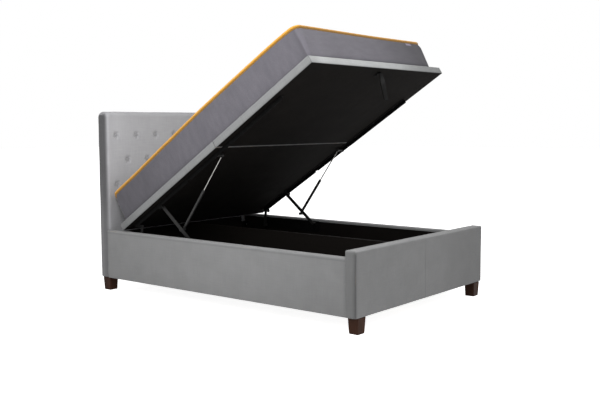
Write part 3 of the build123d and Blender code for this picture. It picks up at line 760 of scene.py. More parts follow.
@dataclass
class Headboard:
    """Buttoned headboard: a tufted front, its cloth back, its buttons and the lining at its foot."""

    palette: Palette
    half_width: float = 0.714
    bottom: float = 0.092
    top: float = 1.225
    face: float = 0.9925
    back: float = 1.0775
    pad: float = 0.048
    corner: float = 0.042
    foot_corner: float = 0.008
    roll: float = 0.031
    rows: tuple[tuple[int, float, float], ...] = ((8, 0.0, 1.065), (7, 0.010, 0.897), (8, 0.0, 0.729))
    pitch: float = 0.1785
    dimple: float = 0.032
    depth: float = 0.008
    fold_depth: float = 0.0021
    crease_depth: float = 0.0016
    swell: float = 0.0016
    button: float = 0.0115
    button_dome: float = 0.0066
    button_rim: float = 0.0016
    button_set_back: float = 0.0118
    turn: float = 0.019
    lining_half: tuple[float, float] = (0.624, 0.139)
    lining_middle: float = 0.262
    lining_gap: float = 0.0017

    def __post_init__(self) -> None:
        """Works out the sizes that the front and the back share."""
        self.middle = (self.top + self.bottom) / 2
        self.half_high = (self.top - self.bottom) / 2
        self.corners = (self.foot_corner, self.foot_corner, self.corner, self.corner)

    def tufts(self) -> Array:
        """Places of the buttons across and up, one a row."""
        rows = []
        for count, shift, z in self.rows:
            across = (np.arange(count) - (count - 1) / 2) * self.pitch + shift
            rows.append(np.column_stack((across, np.full(count, z))))
        return np.concatenate(rows)

    def relief(self, across: Array, up: Array) -> tuple[Array, Array]:
        """Depth of the cloth behind its tightest plane, and the painted shade in its dimples and folds.

        Each button draws in a round dimple, one less its squared share of the radius, all squared.
        Short folds run out from it as a cosine of the angle, strongest just outside the button and
        gone a little past the dimple. A small slack crease lies just under each button.

        Args:
            across: places across the headboard.
            up: heights over the floor.

        Returns:
            The depth in metres and the tone, one a point.
        """
        rng = np.random.default_rng(11)
        depth, tone = np.zeros_like(across), np.ones_like(across)
        for x, z in self.tufts():
            dx, dz = across - x, up - z
            away, angle = np.hypot(dx, dz), np.arctan2(dz, dx)
            cup = np.clip(1 - (away / self.dimple) ** 2, 0, None) ** 2
            folds, start = int(rng.integers(5, 8)), rng.uniform(0, 2 * math.pi)
            reach = bell(away - 0.017, 0.013)
            fold = (0.5 + 0.5 * np.cos(folds * angle + start + 6 * away / self.dimple)) ** 2
            slack = np.exp(-((dz + 0.022) / 0.009) ** 2 - (dx / 0.024) ** 2)
            depth += self.depth * cup + self.fold_depth * reach * fold + self.crease_depth * slack
            # Painted shade in each dimple and along its folds.
            tone -= 0.30 * cup**2 + 0.16 * reach * fold
        return depth, np.clip(tone, 0.35, 1.0)

    def side_painted_shade(self, up: Array) -> Array:
        """Painted shade on the headboard's sides: their colour falls by half between 0.3 and 0.9 m up."""
        return 0.44 - 0.22 * smooth((up - 0.3) / 0.6)

    def front(self) -> bpy.types.Object:
        """The tufted pad."""
        spacing = 0.004
        columns = np.arange(-0.672, 0.6721, spacing)
        near = np.arange(-0.048, 0.0481, spacing)
        lines = [z + s - self.middle for _, _, z in self.rows for s in near]
        surface = Slab(
            self.half_width, self.half_high, self.pad, self.corners, self.roll, 0.0015,
            step=0.016, extra_a=tuple(columns), extra_b=tuple(lines), rounds=6,
        ).surface()
        across, up = surface.lattice[:, 0], surface.lattice[:, 1] + self.middle
        depth, tone = self.relief(across, up)
        edge = np.minimum(self.half_width - np.abs(across), self.top - up)
        inner = smooth(edge / 0.06) * surface.low
        swell = self.swell * (ripple(surface.lattice[:, :2], 0.34, 3) - 1.0)
        surface.points[:, 2] += inner * depth - swell * inner
        # Painted shade: the rolled sides take the sides' shade, the dimple shade stays on the front face, and
        # the front below 0.95 m gets a painted shadow of the mattress.
        rolled = smooth((np.abs(surface.points[:, 0]) - (self.half_width - self.turn)) / self.turn)
        tone = np.where(surface.low, tone, 1.0) * (1 - (1 - self.side_painted_shade(up)) * rolled)
        tone = tone * (1 - 0.22 * smooth((0.95 - up) / 0.35))
        surface.push(0.0005 * ripple(surface.points, 0.09, 5) * (1 - inner))
        return padded_piece("headboard_front_pad", surface, upright_y(self.face, self.middle), tone)

    def rear(self) -> bpy.types.Object:
        """The cloth over the back board, with its seam against the front pad."""
        deep = self.back - self.face - self.pad
        surface = Slab(
            self.half_width, self.half_high, deep, self.corners, 0.0015, 0.009, step=0.03, rounds=5
        ).surface()
        # Painted shade: the flanks take the sides' shade, and the back is painted darker, at 0.72.
        flank = np.abs(surface.points[:, 0]) > self.half_width - 0.006
        tone = np.where(flank, self.side_painted_shade(surface.points[:, 1] + self.middle), 0.72)
        surface.push(0.0005 * ripple(surface.points, 0.22, 8))
        place = upright_y(self.face + self.pad, self.middle)
        return padded_piece("headboard_back_cloth", surface, place, tone)

    def buttons(self) -> bpy.types.Object:
        """All the covered buttons: a low dome turned about the line that looks out of the headboard.

        The profile is a quarter oval with a tucked rim, and small folds round the rim follow a cosine.
        """
        angle = np.linspace(0, 2 * math.pi, 33)[:-1]
        share = np.linspace(0, 1, 9)
        radius = self.button * np.sin(share * math.pi / 2)
        height = self.button_dome * np.cos(share * math.pi / 2)
        radius = np.concatenate([radius, [self.button * 0.97]])
        height = np.concatenate([height, [-self.button_rim]])
        fold = 1 + 0.018 * np.cos(14 * angle)[None, :] * (radius / self.button)[:, None] ** 4
        x = radius[:, None] * np.cos(angle) * fold
        z = radius[:, None] * np.sin(angle) * fold
        y = -height[:, None] + 0 * x
        x[0], z[0] = 1e-5 * np.cos(angle), 1e-5 * np.sin(angle)
        one = np.stack((x, y, z), axis=-1)
        n, m = one.shape[:2]
        rows, cols = np.meshgrid(np.arange(n - 1), np.arange(m), indexing="ij")
        corners = ((rows, cols), (rows, cols + 1), (rows + 1, cols + 1), (rows + 1, cols))
        ring_quads = np.stack([(a * m + b % m).ravel() for a, b in corners], axis=1)
        tufts = self.tufts()
        set_back = np.full(len(tufts), self.face + self.button_set_back)
        centres = np.column_stack((tufts[:, 0], set_back, tufts[:, 1]))
        points = (centres[:, None] + one.reshape(1, -1, 3)).reshape(-1, 3)
        quads = (np.arange(len(tufts))[:, None, None] * (n * m) + ring_quads[None]).reshape(-1, 4)
        uv = points[quads][:, :, (0, 2)]
        # Painted shade: each button darkens towards its rim, and most at the tucked rim.
        tone = np.tile(np.repeat(np.concatenate([np.linspace(0.80, 0.62, n - 1), [0.4]]), m), len(tufts))
        return piece("headboard_covered_buttons", points, quads, uv, tone)

    def lining(self) -> bpy.types.Object:
        """Black cloth over the headboard's face inside the storage box."""
        surface = thin(*self.lining_half, 0.0012, 0.002, 0.0004)
        place = upright_y(self.face - self.lining_gap, self.lining_middle)
        return padded_piece("box_lining_head", surface, place)

    def build(self) -> None:
        """Makes and dresses the headboard."""
        front = seat(self.front(), self.palette["headboard"], "base", "grey_fabric", "headboard_pad")
        rear = seat(self.rear(), self.palette["headboard"], "base", "grey_fabric", "headboard_back_cover")
        seat(self.buttons(), self.palette["headboard"], "base", "grey_fabric", "headboard_buttons")
        lining = seat(self.lining(), self.palette["lining"], "base", "black_fabric")


@dataclass
class BoxFrame:
    """Side rails and footboard in their cloth covers, with the black lining inside the box."""

    palette: Palette
    rail_outer: float = 0.722
    rail_thickness: float = 0.056
    bottom: float = 0.092
    rail_top: float = 0.418
    front: float = -1.0775
    footboard: float = 0.074
    footboard_half: float = 0.725
    footboard_top: float = 0.462
    head_face: float = 0.9925
    lip: float = 0.016
    set_back: float = 0.0034
    liner: float = 0.0022
    foot_liner: float = 0.003
    rail_swell: float = 0.0016
    end_pull: float = 0.0009
    foot_swell: float = 0.0018
    seam_depth: float = 0.0014
    shoulder: float = 0.0005
    turn_depth: float = 0.0010

    def rail(self, side: int, name: str) -> None:
        """A rail's cloth cover and its inner lining.

        The cover is a pad on edge whose inner face is set back inside its lip. Its outer face is
        slightly full, and small pulls stand near both ends.

        Args:
            side: -1 for left, 1 for right.
            name: the side's word.
        """
        start = self.front + self.footboard
        half, middle = (self.head_face - start) / 2, (self.head_face + start) / 2
        high, centre = (self.rail_top - self.bottom) / 2, (self.rail_top + self.bottom) / 2
        window = high - self.lip
        hem = (-window, -window + 0.001, window - 0.001, window)
        fine = (*hem, *np.linspace(high - 0.026, high - 0.009, 9))
        surface = Slab(
            half + 0.0014, high, self.rail_thickness, (0.003,) * 4, 0.006, 0.009,
            step=0.014, extra_b=fine, rounds=5, flat_ends=True,
        ).surface()
        a, b = surface.lattice[:, 0], surface.lattice[:, 1]
        inside = surface.low & (np.abs(b) < window - 0.0005)
        outer = surface.high.astype(float)
        inset = half - np.abs(a)
        full = self.rail_swell * smooth((high - np.abs(b)) / 0.10) * smooth(inset / 0.12)
        pulls = self.end_pull * np.exp(-inset / 0.05) * np.cos(2 * math.pi * b / 0.083 + 2.0)
        pulls = pulls + 0.0007 * ripple(surface.points, 0.30, 21 + side)
        surface.push(outer * (full + pulls - 0.0012) + (1 - outer) * 0.0002 * ripple(surface.points, 0.1, 23))
        surface.points[:, 2] += self.set_back * inside
        # Painted light and shade: darker near both ends, towards the bottom and towards the foot, a painted
        # shade line just under the top edge, 0.94 on the other faces, and a painted highlight along the top
        # edge.
        tone = 1 - 0.10 * np.exp(-inset / 0.012) - 0.05 * smooth(-b / high) - 0.10 * smooth(-a / half)
        tone = np.where(surface.high, tone - 0.17 * bell(high - b - 0.015, 0.004), 0.94)
        tone += 0.22 * smooth((surface.points[:, 1] - high + 0.009) / 0.007)
        place = upright_x(side * (self.rail_outer - self.rail_thickness), middle, centre, side)
        cloth = padded_piece(f"{name}_rail_cloth", surface, place, tone)
        cover = seat(cloth, self.palette["upholstery"], "base", "grey_fabric", f"{name}_rail_cover")
        sheet = thin(half - 0.0005, window - 0.0005, self.liner, 0.001, 0.0006)
        sheet.push(0.0002 * ripple(sheet.points, 0.2, 31))
        place = upright_x(side * (self.rail_outer - self.rail_thickness + 0.0004), middle, centre, side)
        cloth = padded_piece(f"box_lining_{name}", sheet, place)
        lining = seat(cloth, self.palette["lining"], "base", "black_fabric", f"{name}_rail_liner")

    def foot_end(self) -> None:
        """The footboard's padded cover, with sewn seams down its middle and at both ends, and its lining.

        A seam is a groove: a bell curve across its line, with a shallow swell on either side.
        """
        high, centre = (self.footboard_top - self.bottom) / 2, (self.footboard_top + self.bottom) / 2
        fine = tuple(np.arange(-0.014, 0.0141, 0.001))
        surface = Slab(
            self.footboard_half, high, self.footboard, (0.0095,) * 4, 0.009, 0.009,
            step=0.014, extra_a=fine, rounds=7,
        ).surface()
        a, b, c = surface.points.T
        front = smooth((0.012 - c) / 0.012)
        seam = bell(a, 0.0035) * (0.35 + 0.65 * front)
        shoulder = bell(np.abs(a) - 0.007, 0.006) * front
        inset = self.footboard_half - np.abs(a)
        turn = bell(inset - c, 0.0075) * (c < 0.011) * (inset < 0.011) * smooth((high - b) / 0.02)
        full = self.foot_swell * smooth((high - np.abs(b)) / 0.09) * smooth(inset / 0.09)
        full = full * smooth(np.abs(a) / 0.05)
        wave = 0.0006 * ripple(surface.points, 0.26, 41) * front
        offset = front * (full - 0.0006) + wave - self.seam_depth * seam
        surface.push(offset + self.shoulder * shoulder - self.turn_depth * turn)
        # Painted light and shade: darker end faces, painted shade in the middle seam and along the front
        # corners, darker towards the right, and a painted highlight along the top edge.
        end = (np.abs(a) > self.footboard_half - 0.006) & (c > 0.006)
        tone = np.where(end, 0.66, 1.0) - 0.08 * seam * front - 0.62 * turn - 0.18 * front * smooth(a / 0.6)
        tone += 0.30 * smooth((surface.points[:, 1] - high + 0.011) / 0.009)
        cover = padded_piece("footboard_cloth", surface, upright_y(self.front, centre), tone)
        covers = ("footboard_cover_left", "footboard_cover_right")
        seat(cover, self.palette["upholstery"], "base", "grey_fabric", *covers)
        inner = self.rail_outer - self.rail_thickness
        window = (self.rail_top - self.bottom) / 2 - self.lip
        sheet = thin(inner - 0.0006, window, self.foot_liner, 0.001, 0.0008)
        place = upright_y(self.front + self.footboard + 0.0006, (self.rail_top + self.bottom) / 2)
        cloth = padded_piece("box_lining_foot", sheet, place)
        lining = seat(cloth, self.palette["lining"], "base", "black_fabric", "footboard_liner")

    def build(self) -> None:
        """Makes and dresses both rails and the footboard."""
        self.rail(-1, "left")
        self.rail(1, "right")
        self.foot_end()


@dataclass
class Platform:
    """Lifting platform in two halves: cloth edges, dust covers and the pull strap."""

    palette: Palette
    half_width: float = 0.715
    thickness: float = 0.047
    length: float = 1.925
    split: float = 1.048
    rim: float = 0.004
    seam_rim: float = 0.009
    set_back: float = 0.0026
    dust_cover: float = 0.0014
    sag: float = 0.0016
    tug: float = 0.0006
    strap_half: float = 0.017
    strap_half_thick: float = 0.0013
    strap_sewn: float = 0.026

    def half(self, name: str, start: float, end: float, head: bool) -> None:
        """One half: its cloth cover, with a hollow for the dust cover, and the dust cover.

        The dust cover sags between the cross timbers as a sine along each bay, and not at all near
        the angle rails and the edges.

        Args:
            name: the half's word.
            start: distance of its upper edge from the platform's head edge.
            end: distance of its lower edge.
            head: whether it is the half at the head.
        """
        middle, half = (start + end) / 2, (end - start) / 2
        outer, inner = 0.006, 0.0015
        corners = (inner, inner, outer, outer) if head else (outer, outer, inner, inner)
        low_b = -half + (self.rim if not head else 0.0025)
        high_b = half - (self.rim if head else self.seam_rim)
        wide = self.half_width - self.rim
        hem_a, hem_b = ((lo, lo + 0.0006, hi - 0.0006, hi) for lo, hi in ((-wide, wide), (low_b, high_b)))
        surface = Slab(
            self.half_width, half, self.thickness, corners, 0.003, 0.005,
            step=0.016, rounds=4, extra_a=hem_a, extra_b=hem_b, step_c=0.01,
        ).surface()
        a, b, c = surface.lattice.T
        hollow = surface.low & (np.abs(a) < wide - 0.0003)
        hollow &= (b > low_b + 0.0003) & (b < high_b - 0.0003)
        wall = ~surface.low & ~surface.high
        full = 0.0006 * np.sin(math.pi * np.clip(c / self.thickness, 0, 1)) - 0.0004
        surface.push(wall * (0.0004 * ripple(surface.points, 0.12, 51) + full))
        surface.points[:, 2] += self.set_back * hollow
        # Painted shade: a dark line down the corner seams, a darker band near the lower edge, a dark line at
        # the split, and the top and underside painted darker, at 0.7 and 0.25.
        x, y = self.half_width - np.abs(surface.points[:, 0]), half - np.abs(surface.points[:, 1])
        far_end = (surface.points[:, 1] > 0) == head
        mitre = bell(x - y, 0.0035) * wall * (x < 0.012) * (y < 0.012) * far_end
        fold = bell(c - 0.004, 0.0022) * wall
        seam = bell(middle - b - self.split, 0.003)
        tone = self.edge_painted_light(a, middle - b) * (1.0 - 0.62 * mitre - 0.18 * fold - 0.45 * seam)
        tone = np.select((surface.high, surface.low), (0.7, 0.25), tone)
        cloth = padded_piece(f"{name}_platform_cloth", surface, on_deck(middle, 0.0), tone)
        cover = seat(cloth, self.palette["edge"], "platform", "pale_fabric", f"{name}_platform_cover")
        sheet_half, shift = (high_b - low_b) / 2 - 0.0008, (high_b + low_b) / 2
        sheet = thin(wide - 0.0008, sheet_half, self.dust_cover, 0.004, 0.0004, step=0.022)
        sx, sy, _ = sheet.lattice.T
        bay = 0.2 if head else 0.2065
        hang = np.abs(np.sin(math.pi * (sheet_half - sy) / bay))
        sag = self.sag * hang * smooth((0.60 - np.abs(sx)) / 0.2)
        tug = self.tug * ripple(sheet.lattice[:, :2], 0.16, 57) * smooth((0.61 - np.abs(sx)) / 0.05)
        sheet.points[:, 2] -= sag + np.abs(tug)
        cloth = padded_piece(f"{name}_dust_cloth", sheet, on_deck(middle - shift, 0.0006))
        dust = seat(cloth, self.palette["lining"], "platform", "black_fabric", f"{name}_dust_cover")

    def edge_painted_light(self, across: Array, along: Array) -> Array:
        """Painted light and shade of the edge cloth: shade along the sides, painted light over the foot,
        shade again to its right.

        Args:
            across: places across the platform.
            along: distances from its head edge.
        """
        side = 0.38 + 0.12 * smooth(along / 0.3)
        foot = 0.92 + 0.24 * smooth((across + 0.70) / 0.12) - 0.58 * smooth((across - 0.02) / 0.55)
        return np.where(along > self.length - 0.004, foot, side)

    def strap(self) -> None:
        """The pull strap: webbing from its seat on the underside, over a bend, then hanging a little forward.

        The middle line runs through listed points, smoothed by a running mean. The outline is a flat
        oval that turns a little about the line on its way down. It is 1.7 times as thick over the sewn end.
        """
        laid = [DECK_ORIGIN - u * HEADWARD - 0.0019 * UPWARD for u in (1.846, 1.866, 1.882)]
        hung = (
            (-0.7495, 1.4490), (-0.7540, 1.4400), (-0.7577, 1.4215), (-0.7623, 1.3985), (-0.7697, 1.3680),
            (-0.7752, 1.3431), (-0.7817, 1.3155), (-0.7863, 1.2970), (-0.7891, 1.2841),
        )
        knots = np.array([*laid, *((0.0, y, z) for y, z in hung)])
        reach = np.concatenate([[0.0], np.cumsum(np.linalg.norm(np.diff(knots, axis=0), axis=1))])
        sections, around, bent = 72, 24, 12
        even = np.linspace(0, reach[-1], sections)
        path = np.column_stack([np.interp(even, reach, knots[:, k]) for k in range(3)])
        for _ in range(6):
            path[bent + 1 : -1] = (path[bent:-2] + path[bent + 1 : -1] * 2 + path[bent + 2 :]) / 4
        cos, sin = ring(1.0, 1.0, around).T
        wide = self.strap_half * np.sign(cos) * np.abs(cos) ** 0.35
        flat = np.column_stack((wide, self.strap_half_thick * sin))
        twist = math.radians(-30) * (smooth((even - 0.05) / 0.06) - 0.8 * smooth((even - 0.12) / 0.12))
        points, quads, uv = carried(path, flat, np.array((0.0, -0.55, -0.83)), False, twist)
        grid = points.reshape(sections, around, 3)
        sewn = even - (reach[-1] - self.strap_sewn)
        thin = grid[:, around // 4] - grid[:, 3 * around // 4]
        thin /= np.linalg.norm(thin, axis=1, keepdims=True)
        depth = np.einsum("nmk,nk->nm", grid - path[:, None], thin) * smooth(sewn / 0.003)[:, None]
        grid += 0.7 * depth[:, :, None] * thin[:, None]
        # Painted light and shade: a painted highlight over the upper bend, darker along the line where the
        # sewn end starts and where the strap lies under the platform, and painted shade down its left edge.
        lit = 0.65 + 0.65 * bell(even - 0.10, 0.025) - 0.3 * bell(sewn, 0.0012)
        lit *= 1 - 0.9 * smooth((0.055 - even) / 0.01)
        tone = np.outer(lit, 1 - 0.95 * smooth((cos - 0.2) / 0.5)).ravel()
        obj = piece("pull_strap_webbing", grid.reshape(-1, 3), quads, uv, tone)
        work = bmesh.new()
        work.from_mesh(obj.data)
        bmesh.ops.holes_fill(work, edges=work.edges, sides=0)
        bmesh.ops.recalc_face_normals(work, faces=work.faces)
        work.to_mesh(obj.data)
        work.free()
        seat(obj, self.palette["webbing"], "platform", "black_fabric", "pull_strap")

    def build(self) -> None:
        """Makes and dresses both halves and the strap."""
        self.half("head", 0.0, self.split - 0.0006, True)
        self.half("foot", self.split + 0.0006, self.length, False)
        self.strap()


@dataclass
class Mattress:
    """Sprung mattress: knitted border, crowned pale top, amber piping and a blank tab.

    Attributes:
        seam: heights of the piping's middle over the platform's underside, at places along it.
    """

    palette: Palette
    half_width: float = 0.6775
    start: float = 0.0118
    end: float = 1.9165
    base: float = 0.047
    wall: float = 0.230
    foot_corner: float = 0.0525
    head_corner: float = 0.026
    draw: float = 0.010
    crown: float = 0.006
    rim: float = 0.0045
    piping: float = 0.0092
    piping_tall: float = 0.0122
    piping_inset: float = 0.0075
    far_fall: float = 0.0125
    head_droop: float = 0.026
    top_gather: float = 0.0009
    low_gather: float = 0.0010
    hollow: float = 0.0007
    tuck: float = 0.018
    lean: float = 0.020
    tab_half: tuple[float, float] = (0.033, 0.009)
    tab_place: float = 0.484
    seam: tuple[tuple[float, float], ...] = (
        (0.0, 0.264), (0.05, 0.2655), (0.1, 0.267), (0.3, 0.2665), (0.4, 0.2705), (0.5, 0.2722),
        (0.6, 0.2748), (0.7, 0.2755), (0.8, 0.2775), (0.9, 0.2793), (1.05, 0.2805), (1.2, 0.2785),
        (1.3, 0.2773), (1.5, 0.274), (1.6, 0.2722), (1.7, 0.2703), (1.8, 0.266), (1.92, 0.257),
    )

    def __post_init__(self) -> None:
        """Works out half the length, which most of its forms are measured by."""
        self.half_length = (self.end - self.start) / 2

    def seam_height(self, across: Array, along: Array) -> Array:
        """Height of the piping's middle over the platform's underside.

        It follows the seam's heights, eased by a running mean. It falls towards the far foot corner,
        mostly over its near half, and droops over the last 26 mm before the head end.
        """
        places, heights = np.array(self.seam).T
        fine = np.linspace(0.0, 2.0, 201)
        padded = np.pad(np.interp(fine, places, heights), 4, mode="edge")
        eased = np.convolve(padded, np.ones(9) / 9, "valid")
        far = self.far_fall * smooth((along - 1.2) / 0.7) * smooth(across + 0.8)
        droop = self.head_droop * smooth((self.start + 0.026 - along) / 0.022)
        return np.interp(along, fine, eased) - far - droop

    def drawn(self, share: Array) -> Array:
        """How far the wall stands in, by a share that is 0 half way up and 1 at its top and foot."""
        return self.draw * np.abs(share) ** 8 + 0.0005

    def corner_tuck(self, plane: Array, height: Array | float) -> Array:
        """How far the foot corners stand in, more at their bottom and at the piping than between.

        It is full round the corner and dies away along both sides as a bell curve.

        Args:
            plane: places across and along, from the mattress's middle.
            height: share of the wall's height.
        """
        beside = np.maximum(self.half_width - np.abs(plane[:, 0]) - self.foot_corner, 0.0)
        beyond = np.maximum(plane[:, 1] + self.half_length - self.foot_corner, 0.0)
        return bell(beside + beyond, 0.05) * self.tuck * (1 - np.clip(height, 0, 1)) ** 1.3

    def slump(self, plane: Array, height: Array | float) -> Array:
        """How far the far foot corner's top leans in, towards the middle of the mattress.

        Args:
            plane: places across and along, from the mattress's middle.
            height: share of the wall's height.
        """
        beside, beyond = self.half_width - plane[:, 0], plane[:, 1] + self.half_length
        near = self.lean * smooth(1 - beside / 0.12) * smooth(1 - beyond / 0.30)
        return near * smooth((height - 0.80) / 0.18)

    def block(self) -> tuple[bpy.types.Object, bpy.types.Object]:
        """The border and the top, cut from one closed form.

        The walls draw in at both edges. Small gathers stand along both edges, as sines that die away from
        the edge. The top rises by its crown over the first 56 mm, with slow soft hollows.

        Returns:
            The border and the top.
        """
        half_length = self.half_length
        corners = (self.foot_corner, self.foot_corner, self.head_corner, self.head_corner)
        surface = Slab(
            self.half_width, half_length, self.wall, corners, 0.010, 0.010, step=0.02, rounds=6, step_c=0.008
        ).surface()
        a, b, c = surface.lattice.T
        along = self.start + half_length - b
        share = np.clip(c / self.wall, 0, 1) * 2 - 1
        wall = ~surface.low & ~surface.high
        room = np.minimum(self.half_width - np.abs(a), half_length - np.abs(b))
        corner = np.where(b > 0, self.head_corner, self.foot_corner)
        box = np.column_stack((self.half_width - corner, half_length - corner))
        plane = surface.points[:, :2]
        outward = plane - np.clip(plane, -box, box)
        outward /= np.maximum(np.linalg.norm(outward, axis=1, keepdims=True), 1e-9)
        girth = a + b
        near_top, near_low = np.exp(-(self.wall - c) / 0.022), np.exp(-c / 0.020)
        gather = self.top_gather * near_top * np.sin(2 * math.pi * girth / 0.037 + 1.5 * np.sin(girth * 21))
        gather += self.low_gather * near_low * np.sin(2 * math.pi * girth / 0.043 + 1.2 * np.sin(girth * 17))
        uneven = 0.0009 * ripple(surface.points, 0.21, 61) * (1 - share**2)
        pull = self.drawn(share) + self.corner_tuck(plane, c / self.wall) - (uneven + gather) * wall
        surface.points[:, :2] -= outward * (pull * smooth(1 - room / 0.05))[:, None]
        surface.points[:, 0] -= self.slump(plane, c / self.wall)
        surface.points[:, 2] *= (self.seam_height(a, along) - self.base + self.rim) / self.wall
        hollow = self.hollow * (ripple(surface.points[:, :2], 0.15, 67) - 0.8) * smooth(room / 0.10)
        surface.points[:, 2] += np.where(surface.high, self.crown * smooth(room / 0.056) + hollow, 0.0)
        # Painted shade along the wall's top and, more, along its bottom against the platform; a slow ripple
        # of dye runs round it.
        edges = 0.16 * np.exp(-(self.wall - c) / 0.006) + 0.45 * np.exp(-c / 0.008)
        tone = self.border_painted_light(a, along) - edges * wall + 0.02 * np.sin(2 * math.pi * girth / 0.31)
        placing = on_deck(self.start + half_length, self.base)
        upper = surface.high[surface.quads].all(axis=1) & (room[surface.quads] > 0.0105).all(axis=1)
        world = placing.out(surface.points)
        border = piece("mattress_border", world, surface.quads[~upper], surface.uv[~upper], tone)
        top = piece("mattress_top", world, surface.quads[upper], surface.uv[upper])
        return border, top

    def border_painted_light(self, across: Array, along: Array) -> Array:
        """Painted light and shade on the border: darker at the head end, in the near foot corner and towards
        the far side, lighter at the near end of the foot.
        """
        side = 0.63 + 0.19 * smooth((along - 0.1) / 0.7)
        foot = smooth((along - self.end + 0.03) / 0.025)
        end = 1.12 - 0.62 * smooth((across + 0.15) / 0.85)
        turn = bell(along - self.end + 0.02, 0.02) * smooth((-across - self.half_width + 0.06) / 0.04)
        return side + (end - side) * foot - 0.12 * turn

    def outline(self, inset: float, count: int = 26) -> Array:
        """Rounded outline of the mattress, in its own plane, drawn in by an inset."""
        wide, long = self.half_width - inset, self.half_length - inset
        turns = []
        for index, (sx, sy) in enumerate(((1, 1), (-1, 1), (-1, -1), (1, -1))):
            radius = (self.head_corner if sy > 0 else self.foot_corner) - inset
            angle = np.linspace(index * math.pi / 2, (index + 1) * math.pi / 2, count)
            middle = np.array((sx * (wide - radius), sy * (long - radius)))
            turns.append(middle + radius * np.column_stack((np.cos(angle), np.sin(angle))))
        corners = np.concatenate(turns)
        closed = np.vstack((corners, corners[:1]))
        filled = []
        for first, second in zip(closed, closed[1:]):
            steps = max(1, math.ceil(float(np.linalg.norm(second - first)) / 0.02))
            filled.append(first + (second - first) * np.arange(steps)[:, None] / steps)
        return np.concatenate(filled)

    def edging(self) -> bpy.types.Object:
        """Amber piping round the top edge: an oval tube with slight sewing waves, with painted shade on its
        lower half.
        """
        line = self.outline(self.piping_inset)
        box = np.array((self.half_width, self.half_length)) - self.foot_corner
        outward = line - np.clip(line, -box, box)
        outward /= np.linalg.norm(outward, axis=1, keepdims=True)
        line = line - outward * self.corner_tuck(line, 1.0)[:, None]
        line[:, 0] -= self.slump(line, 1.0)
        middle = (self.end + self.start) / 2
        height = self.seam_height(line[:, 0], middle - line[:, 1]) - self.base
        wave = 0.0003 * np.sin(np.arange(len(line)) * 1.9)
        path = on_deck(middle, self.base).out(np.column_stack((line, height + wave)))
        points, quads, uv = carried(path, ring(self.piping, self.piping_tall, 20), UPWARD, True)
        # Painted shade on the lower half of the tube.
        under = np.tile(smooth(0.5 - ring(1.0, 1.0, 20)[:, 1] * 1.5), len(line))
        return piece("mattress_amber_piping", points, quads[:, ::-1], uv[:, ::-1], 1 - 0.62 * under)

    def tab(self) -> bpy.types.Object:
        """Blank woven tab sewn flat on the foot end, under the piping, bent as the border is there."""
        half_wide, half_high = self.tab_half
        surface = Slab(
            half_wide, half_high, 0.0009, (0.0015,) * 4, 0.0003, 0.0004, step=0.002, rounds=2
        ).surface()
        x, up = surface.lattice[:, 0], surface.lattice[:, 1]
        seam = float(self.seam_height(np.array(self.tab_place), np.array(self.end)))
        above = seam - self.piping_tall - half_high - self.base - 0.003
        share = 2 * (above + up) / (seam - self.base + self.rim) - 1
        surface.points[:, 2] += 0.0006 - self.drawn(share)
        # Darker at both side edges, and painted shade towards the right.
        hem = smooth((np.abs(x) - 0.0295) / 0.002) + 2.0 * smooth((x - 0.002) / 0.03)
        origin = DECK_ORIGIN - self.end * HEADWARD + (self.base + above) * UPWARD
        origin = origin + self.tab_place * RIGHT
        placing = Placing(origin, RIGHT, UPWARD, -HEADWARD)
        return padded_piece("mattress_blank_tab", surface, placing, 1 - 0.12 * hem)

    def build(self) -> None:
        """Makes and dresses the mattress."""
        border, top = self.block()
        seat(border, self.palette["border"], "platform", "mattress_fabric", "mattress")
        seat(top, self.palette["topping"], "platform", "mattress_fabric", "mattress")
        seat(self.edging(), self.palette["piping"], "platform", "amber_piping", "mattress_piping")
        tab = seat(self.tab(), self.palette["tab"], "platform", "mattress_fabric")


@dataclass
class Hardware:
    """Solids that keep their CAD shape: they only get their finishes."""

    palette: Palette
    finishes: dict[str, str] = field(default_factory=lambda: {
        "foot_front": "foot_wood", "foot_rear": "foot_wood",
        "angle_rail_screws": "black_steel", "base_plate_screws": "rail_steel", "strap_screws": "rail_steel",
        "corner_bolts": "zinc", "rear_arm_bolts": "black_steel",
        "pins": "black_steel", "studs": "black_steel", "strut_rod": "rod", "strut": "strut",
        "angle_rail": "rail_steel", "arm": "black_steel", "plate": "rail_steel", "brackets": "rail_steel",
        "cross_timbers": "cross_wood", "end_cleats": "cross_wood",
        "side_timbers": "long_wood", "side_cleats": "long_wood",
        "middle_beam": "long_wood", "beam_legs": "long_wood",
        "divider": "dark_board", "floor_panel": "dark_board",
        "board": "board",
    })

    def build(self) -> None:
        """Gives each solid that still shows the first finish whose word is in its name."""
        for name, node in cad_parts.items():
            if node.hide_render:
                continue
            word = next((w for w in self.finishes if w in name), None)
            if word is None:
                LOG.warning("no finish for %s", name)
                continue
            node.data.materials.clear()
            node.data.materials.append(self.palette[self.finishes[word]])
            LOG.info("%s keeps its shape and gets %s", name, self.finishes[word])


